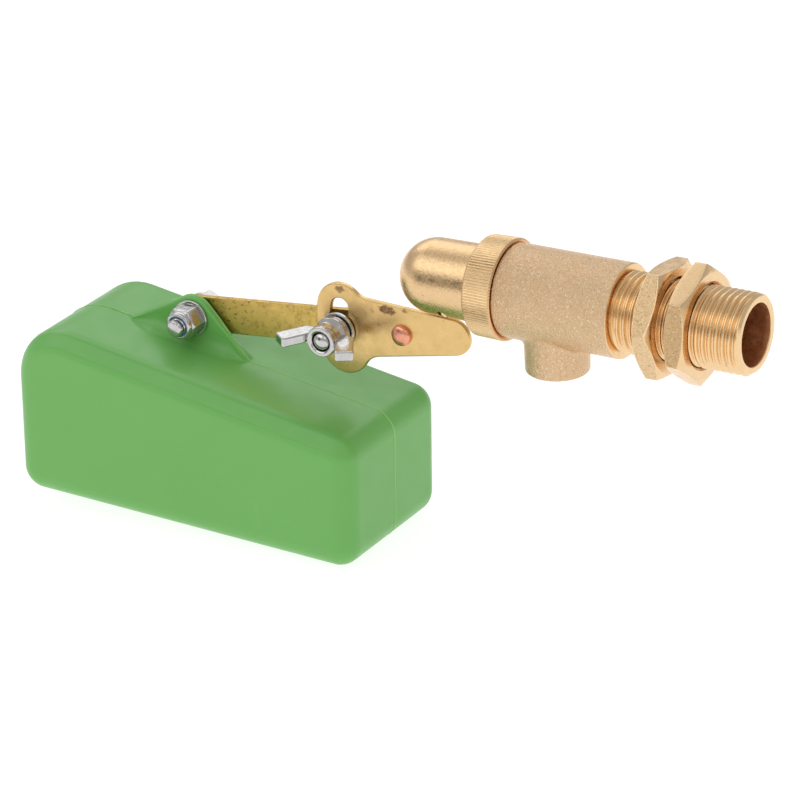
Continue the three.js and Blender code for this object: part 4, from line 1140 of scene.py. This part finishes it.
def float_outline():
    """Points and outward normals round the float's side, with a mark of 1 along its top."""
    rise = (FLOAT_SHORT - FLOAT_TALL) / FLOAT_LENGTH
    corners = [(0, 0, 6.5), (FLOAT_LENGTH, 0, 6.5), (FLOAT_LENGTH, FLOAT_SHORT, 6.5), (0, FLOAT_TALL, 14.9)]
    places = [np.array(c[:2], float) for c in corners]
    arcs = []
    for i, (x, z, radius) in enumerate(corners):
        before = places[i - 1] - places[i]
        after = places[(i + 1) % 4] - places[i]
        before /= np.linalg.norm(before)
        after /= np.linalg.norm(after)
        half = math.acos(float(before @ after)) / 2
        bisector = (before + after) / np.linalg.norm(before + after)
        centre = places[i] + bisector * radius / math.sin(half)
        start = places[i] + before * radius / math.tan(half) - centre
        end = places[i] + after * radius / math.tan(half) - centre
        first = math.atan2(start[1], start[0])
        sweep = (math.atan2(end[1], end[0]) - first) % TAU
        arcs.append((centre, radius, first, sweep))
    points, normals, tops = [], [], []
    for i in range(4):
        centre, radius, first, sweep = arcs[i]
        for a in first + np.linspace(0, sweep, 13):
            direction = np.array((math.cos(a), math.sin(a)))
            points.append(centre + direction * radius)
            normals.append(direction)
            halfway = first + sweep * 0.5
            tops.append(1.0 if i == 2 and a > halfway or i == 3 and a < halfway else 0.0)
        centre2, radius2, first2, _ = arcs[(i + 1) % 4]
        here = points[-1]
        there = centre2 + radius2 * np.array((math.cos(first2), math.sin(first2)))
        if i == 2:
            runs = ((96, 64, 3.0), (63, 21.9, 0.5), (20, 16, 2.0))
            stops = np.concatenate([np.arange(high, low, -step) for high, low, step in runs])
            stops = stops[(stops < here[0] - 0.4) & (stops > there[0] + 0.4)]
            for x in stops:
                points.append(np.array((x, float_top(x))))
                normals.append(np.array((-rise, 1.0)) / math.hypot(1, rise))
                tops.append(1.0)
        else:
            count = max(2, int(math.dist(here, there) / 3))
            for t in np.linspace(0, 1, count, endpoint=False)[1:]:
                points.append(here * (1 - t) + there * t)
                normals.append(normals[-1] if t > 1 / count else direction)
                tops.append(0.0)
    return np.array(points), np.array(normals), np.array(tops)


def edge_profiles(steps=16):
    """The rounding from wall to side face, plain and creased, as (inset, depth from the face) pairs."""
    turns = np.linspace(0, math.pi / 2, steps + 1)
    creases = np.radians((0, 22, 66, 90))
    round_at = lambda a: (FLOAT_EDGE * (1 - np.sin(a)), FLOAT_EDGE * (1 - np.cos(a)))
    creased = [np.interp(turns, creases, values) for values in round_at(creases)]
    return np.stack(round_at(turns), axis=1), np.stack(creased, axis=1)


def float_shell():
    """The float as one grid: front face, rounding, wall, lug, flash line, then the same to the rear."""
    points, normals, tops = float_outline()
    weight = tops.copy()
    for _ in range(10):
        weight = (np.roll(weight, 1) + weight + np.roll(weight, -1)) / 3
    plain, creased = edge_profiles()
    middle = np.array((FLOAT_LENGTH * 0.48, 21.5))
    count = len(points)
    along = points[:, 0]
    height = np.where(tops > 0, lug_height(along), 0.0)
    grow = np.clip(height / 4, 0, 1) ** 2 * (3 - 2 * np.clip(height / 4, 0, 1))
    lean = LUG_LEAN * np.clip(height / 9, 0, 1)
    columns = []

    def column(inset, y, lift=0.0):
        spot = points - normals * np.broadcast_to(inset, (count,))[:, None]
        z = spot[:, 1] + lift
        columns.append(np.stack((spot[:, 0], np.broadcast_to(y, (count,)), z), axis=1))

    def side(sign):
        start = len(columns)
        for t in np.linspace(0.04, 1, 14)[:-1]:
            inner = points - normals * FLOAT_EDGE
            spot = middle + (inner - middle) * t
            dish = 0.35 * (1 - t ** 2) ** 2
            y = np.full(count, sign * (FLOAT_HALF - dish))
            columns.append(np.stack((spot[:, 0], y, spot[:, 1]), axis=1))
        for (flat_in, flat_y), (crease_in, crease_y) in zip(plain, creased):
            share = weight if sign < 0 else 0 * weight
            inset = flat_in * (1 - share) + crease_in * share
            depth = flat_y * (1 - share) + crease_y * share
            column(inset, sign * (FLOAT_HALF - depth))
        for y in np.linspace(15.0, 6.8, 7):
            column(0.0, sign * y)
        tall = np.minimum(LUG_ROOT, 0.75 * height)
        spread = np.maximum(tall, 0.5)
        half = LUG_REAR if sign > 0 else LUG_FOOT_HALF - (LUG_FOOT_HALF - LUG_FRONT) * grow
        top = (height > 0) * (LUG_REAR - lean - 0.3 if sign > 0 else 0.85) * grow
        for k in range(9):
            a = math.radians(90 * k / 8)
            column(0.0, sign * (half + spread * (1 - math.sin(a))), tall * (1 - math.cos(a)))
        low_top = np.maximum(height - top, tall)
        for k in range(1, 8):
            column(0.0, sign * half, tall + (low_top - tall) * k / 8)
        reach = half - lean - 0.3 if sign > 0 else np.minimum(half + lean - 0.3, 0.9)
        for k in range(7):
            a = math.radians(90 * k / 6)
            if sign > 0:
                y, z = half - reach * k / 6, low_top + (height - low_top) * k / 6
            else:
                y, z = -(half - reach * (1 - math.cos(a))), low_top + (height - low_top) * math.sin(a)
            column(0.0, y, z)
        return columns[start:]

    front = side(-1)
    columns.clear()
    rear = side(1)
    columns.clear()
    low = np.clip((points[:, 1] - 0.5) / 2, 0, 1)
    ragged = 0.75 + 0.25 * np.sin(along * 2.1) * np.sin(along * 0.73 + 1)
    rough_foot = 1 + 1.2 * np.exp(-((along - 21) / 4) ** 2) * (0.5 + 0.5 * np.sin(along * 5.3)) * tops
    for y, lift in ((-0.2, 0.0), (-0.11, 0.16), (0.0, 0.22), (0.11, 0.16), (0.2, 0.0)):
        raised = lift * low * ragged * rough_foot
        spot = points + normals * raised[:, None]
        columns.append(np.stack((spot[:, 0], lean + y, spot[:, 1] + height), axis=1))
    grid = np.stack(front + columns + list(reversed(rear)), axis=1)
    rows, across = grid.shape[:2]
    verts, faces = grid_mesh(grid, wrap_columns=False)
    faces.append(tuple(i * across for i in range(rows)))
    faces.append(tuple(i * across + across - 1 for i in range(rows)))
    obj = mesh_object("float_body", float_in_place(verts), faces)
    x, z = bolt_in_float()
    hole = turned([(-6, 0), (-6, 2.8), (6, 2.8), (6, 0)], 48, "y") + np.array((x, 0, z))
    cut(obj, mesh_object("bolt_hole", *grid_mesh(float_in_place(hole))))
    seam = FLOAT_AT[1]

    def pick(c, n):
        on_lug = min(max((c.z + 31) / 9, 0), 1) * LUG_LEAN if c.x < -150 else 0
        return 1 if abs(c.y - seam - on_lug) < 0.17 and abs(n.y) < 0.9 and n.z > -0.9 else 0

    finish_piece(obj, "float", [GREEN, FLASH], pick, ["float_shell"], angle=60)


def float_plug():
    corners = [(-1.2, 0, 0), (-1.2, 3.1, 0.3), (-0.75, 3.4, 0.2), (-0.02, 3.4, 0.1), (-0.02, 1.8, 0.1),
               (1.4, 1.8, 0.2), (1.5, 0, 0)]
    grid = turned(soften(corners, 4), 56) + np.array((0, 0, 26.0))
    obj = mesh_object("float_stopper", *grid_mesh(float_in_place(grid), wrap_columns=False))
    finish_piece(obj, "float", [GREEN], None, ["float_plug"], angle=50)


# Hidden parts that keep their CAD shape
def paint_nodes():
    for node, paint in (("piston", TURNED), ("piston_seal", RUBBER), ("piston_o_ring", RUBBER)):
        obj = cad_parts[node]
        obj.data.materials.clear()
        obj.data.materials.append(paint)


# Floor and light
FLOOR_Z = -0.0788


def stage_sheet(name, corners, paint):
    """A four-cornered sheet of the stage."""
    mesh = bpy.data.meshes.new(name)
    mesh.from_pydata(corners, [], [(0, 1, 2, 3)])
    mesh.materials.append(paint)
    sheet = new_object(name, mesh)
    return sheet


def make_floor():
    size = 9.0
    p = Paint("floor_paper")
    p.set(Base_Color=(0.3, 0.3, 0.3), Roughness=0.9, Emission_Color=(1, 1, 1), Emission_Strength=0.86)
    corners = [(size * x, size * y, FLOOR_Z) for x, y in ((-1, -1), (1, -1), (1, 1), (-1, 1))]
    stage_sheet("floor", corners, p.material)


def softbox(name, azimuth, elevation, distance, width, height, radiance):
    data = bpy.data.lights.new(name, "AREA")
    data.shape = "RECTANGLE"
    data.size, data.size_y = width, height
    data.energy = radiance * math.pi * width * height
    lamp = new_object(name, data)
    az, el = math.radians(azimuth), math.radians(elevation)
    target = Vector((-0.1, 0, -0.03))
    out = Vector((math.cos(el) * math.cos(az), math.cos(el) * math.sin(az), math.sin(el)))
    lamp.matrix_world = aimed(target + distance * out, target)
    lamp.visible_camera = False


def dark_card(azimuth, distance, width, height):
    """A dark card beside the camera: only reflections see it."""
    az = math.radians(azimuth)
    out = Vector((math.cos(az), math.sin(az), 0))
    side = Vector((-out.y, out.x, 0)) * width / 2
    foot = Vector((-0.08, 0, FLOOR_Z + 0.001)) + out * distance
    up = Vector((0, 0, height))
    p = Paint("dark_cloth")
    p.set(Base_Color=(0.10, 0.09, 0.08), Roughness=0.9)
    corners = [foot - side, foot + side, foot + side + up, foot - side + up]
    card = stage_sheet("dark_card", corners, p.material)
    card.visible_camera = False
    card.visible_shadow = False


def make_light():
    softbox("key", -128, 42, 1.7, 1.9, 1.0, 1.0)
    softbox("front_fill", -50, 40, 1.9, 1.0, 0.9, 0.75)
    softbox("back", 125, 42, 1.7, 2.0, 1.1, 0.98)
    dark_card(-121, 0.85, 0.34, 0.38)
    world = bpy.data.worlds.new("studio")
    bpy.context.scene.world = world
    world.use_nodes = True
    world.node_tree.nodes["Background"].inputs["Color"].default_value = (1, 1, 1, 1)
    world.node_tree.nodes["Background"].inputs["Strength"].default_value = 0.55


make_camera()
make_light()
make_floor()
paint_nodes()
inlet_stem()
valve_barrel()
lock_nut("outer_nut", "lock_nut_outer", "outer_lock_nut", -16.1, -7.9, False)
lock_nut("inner_nut", "lock_nut_inner", "inner_lock_nut", -24.85, 26.1, True)
ring_nut()
domed_cap()
pivot_pin()
lever_plate()
lever_rivet()
arm_bar()
washer("clamp_washer", "wing_flat_washer", CLAMP, -2.05, 1.0, 5.0)
spring_washer()
hex_bolt("clamp_bolt", "wing_bolt", CLAMP, 2.85, -10.85, True)
wing_nut()
washer("lug_washer", "float_washer_front", FLOAT_BOLT, -2.9, 0.97, 5.05)
washer("rear_washer", "float_washer_rear", FLOAT_BOLT, 2.85, 1.0, 5.0)
hex_bolt("hinge_bolt", "float_bolt", FLOAT_BOLT, 4.15, -11.0, False)
float_lock_nut()
float_shell()
float_plug()

bpy.context.scene.view_settings.view_transform = "Standard"
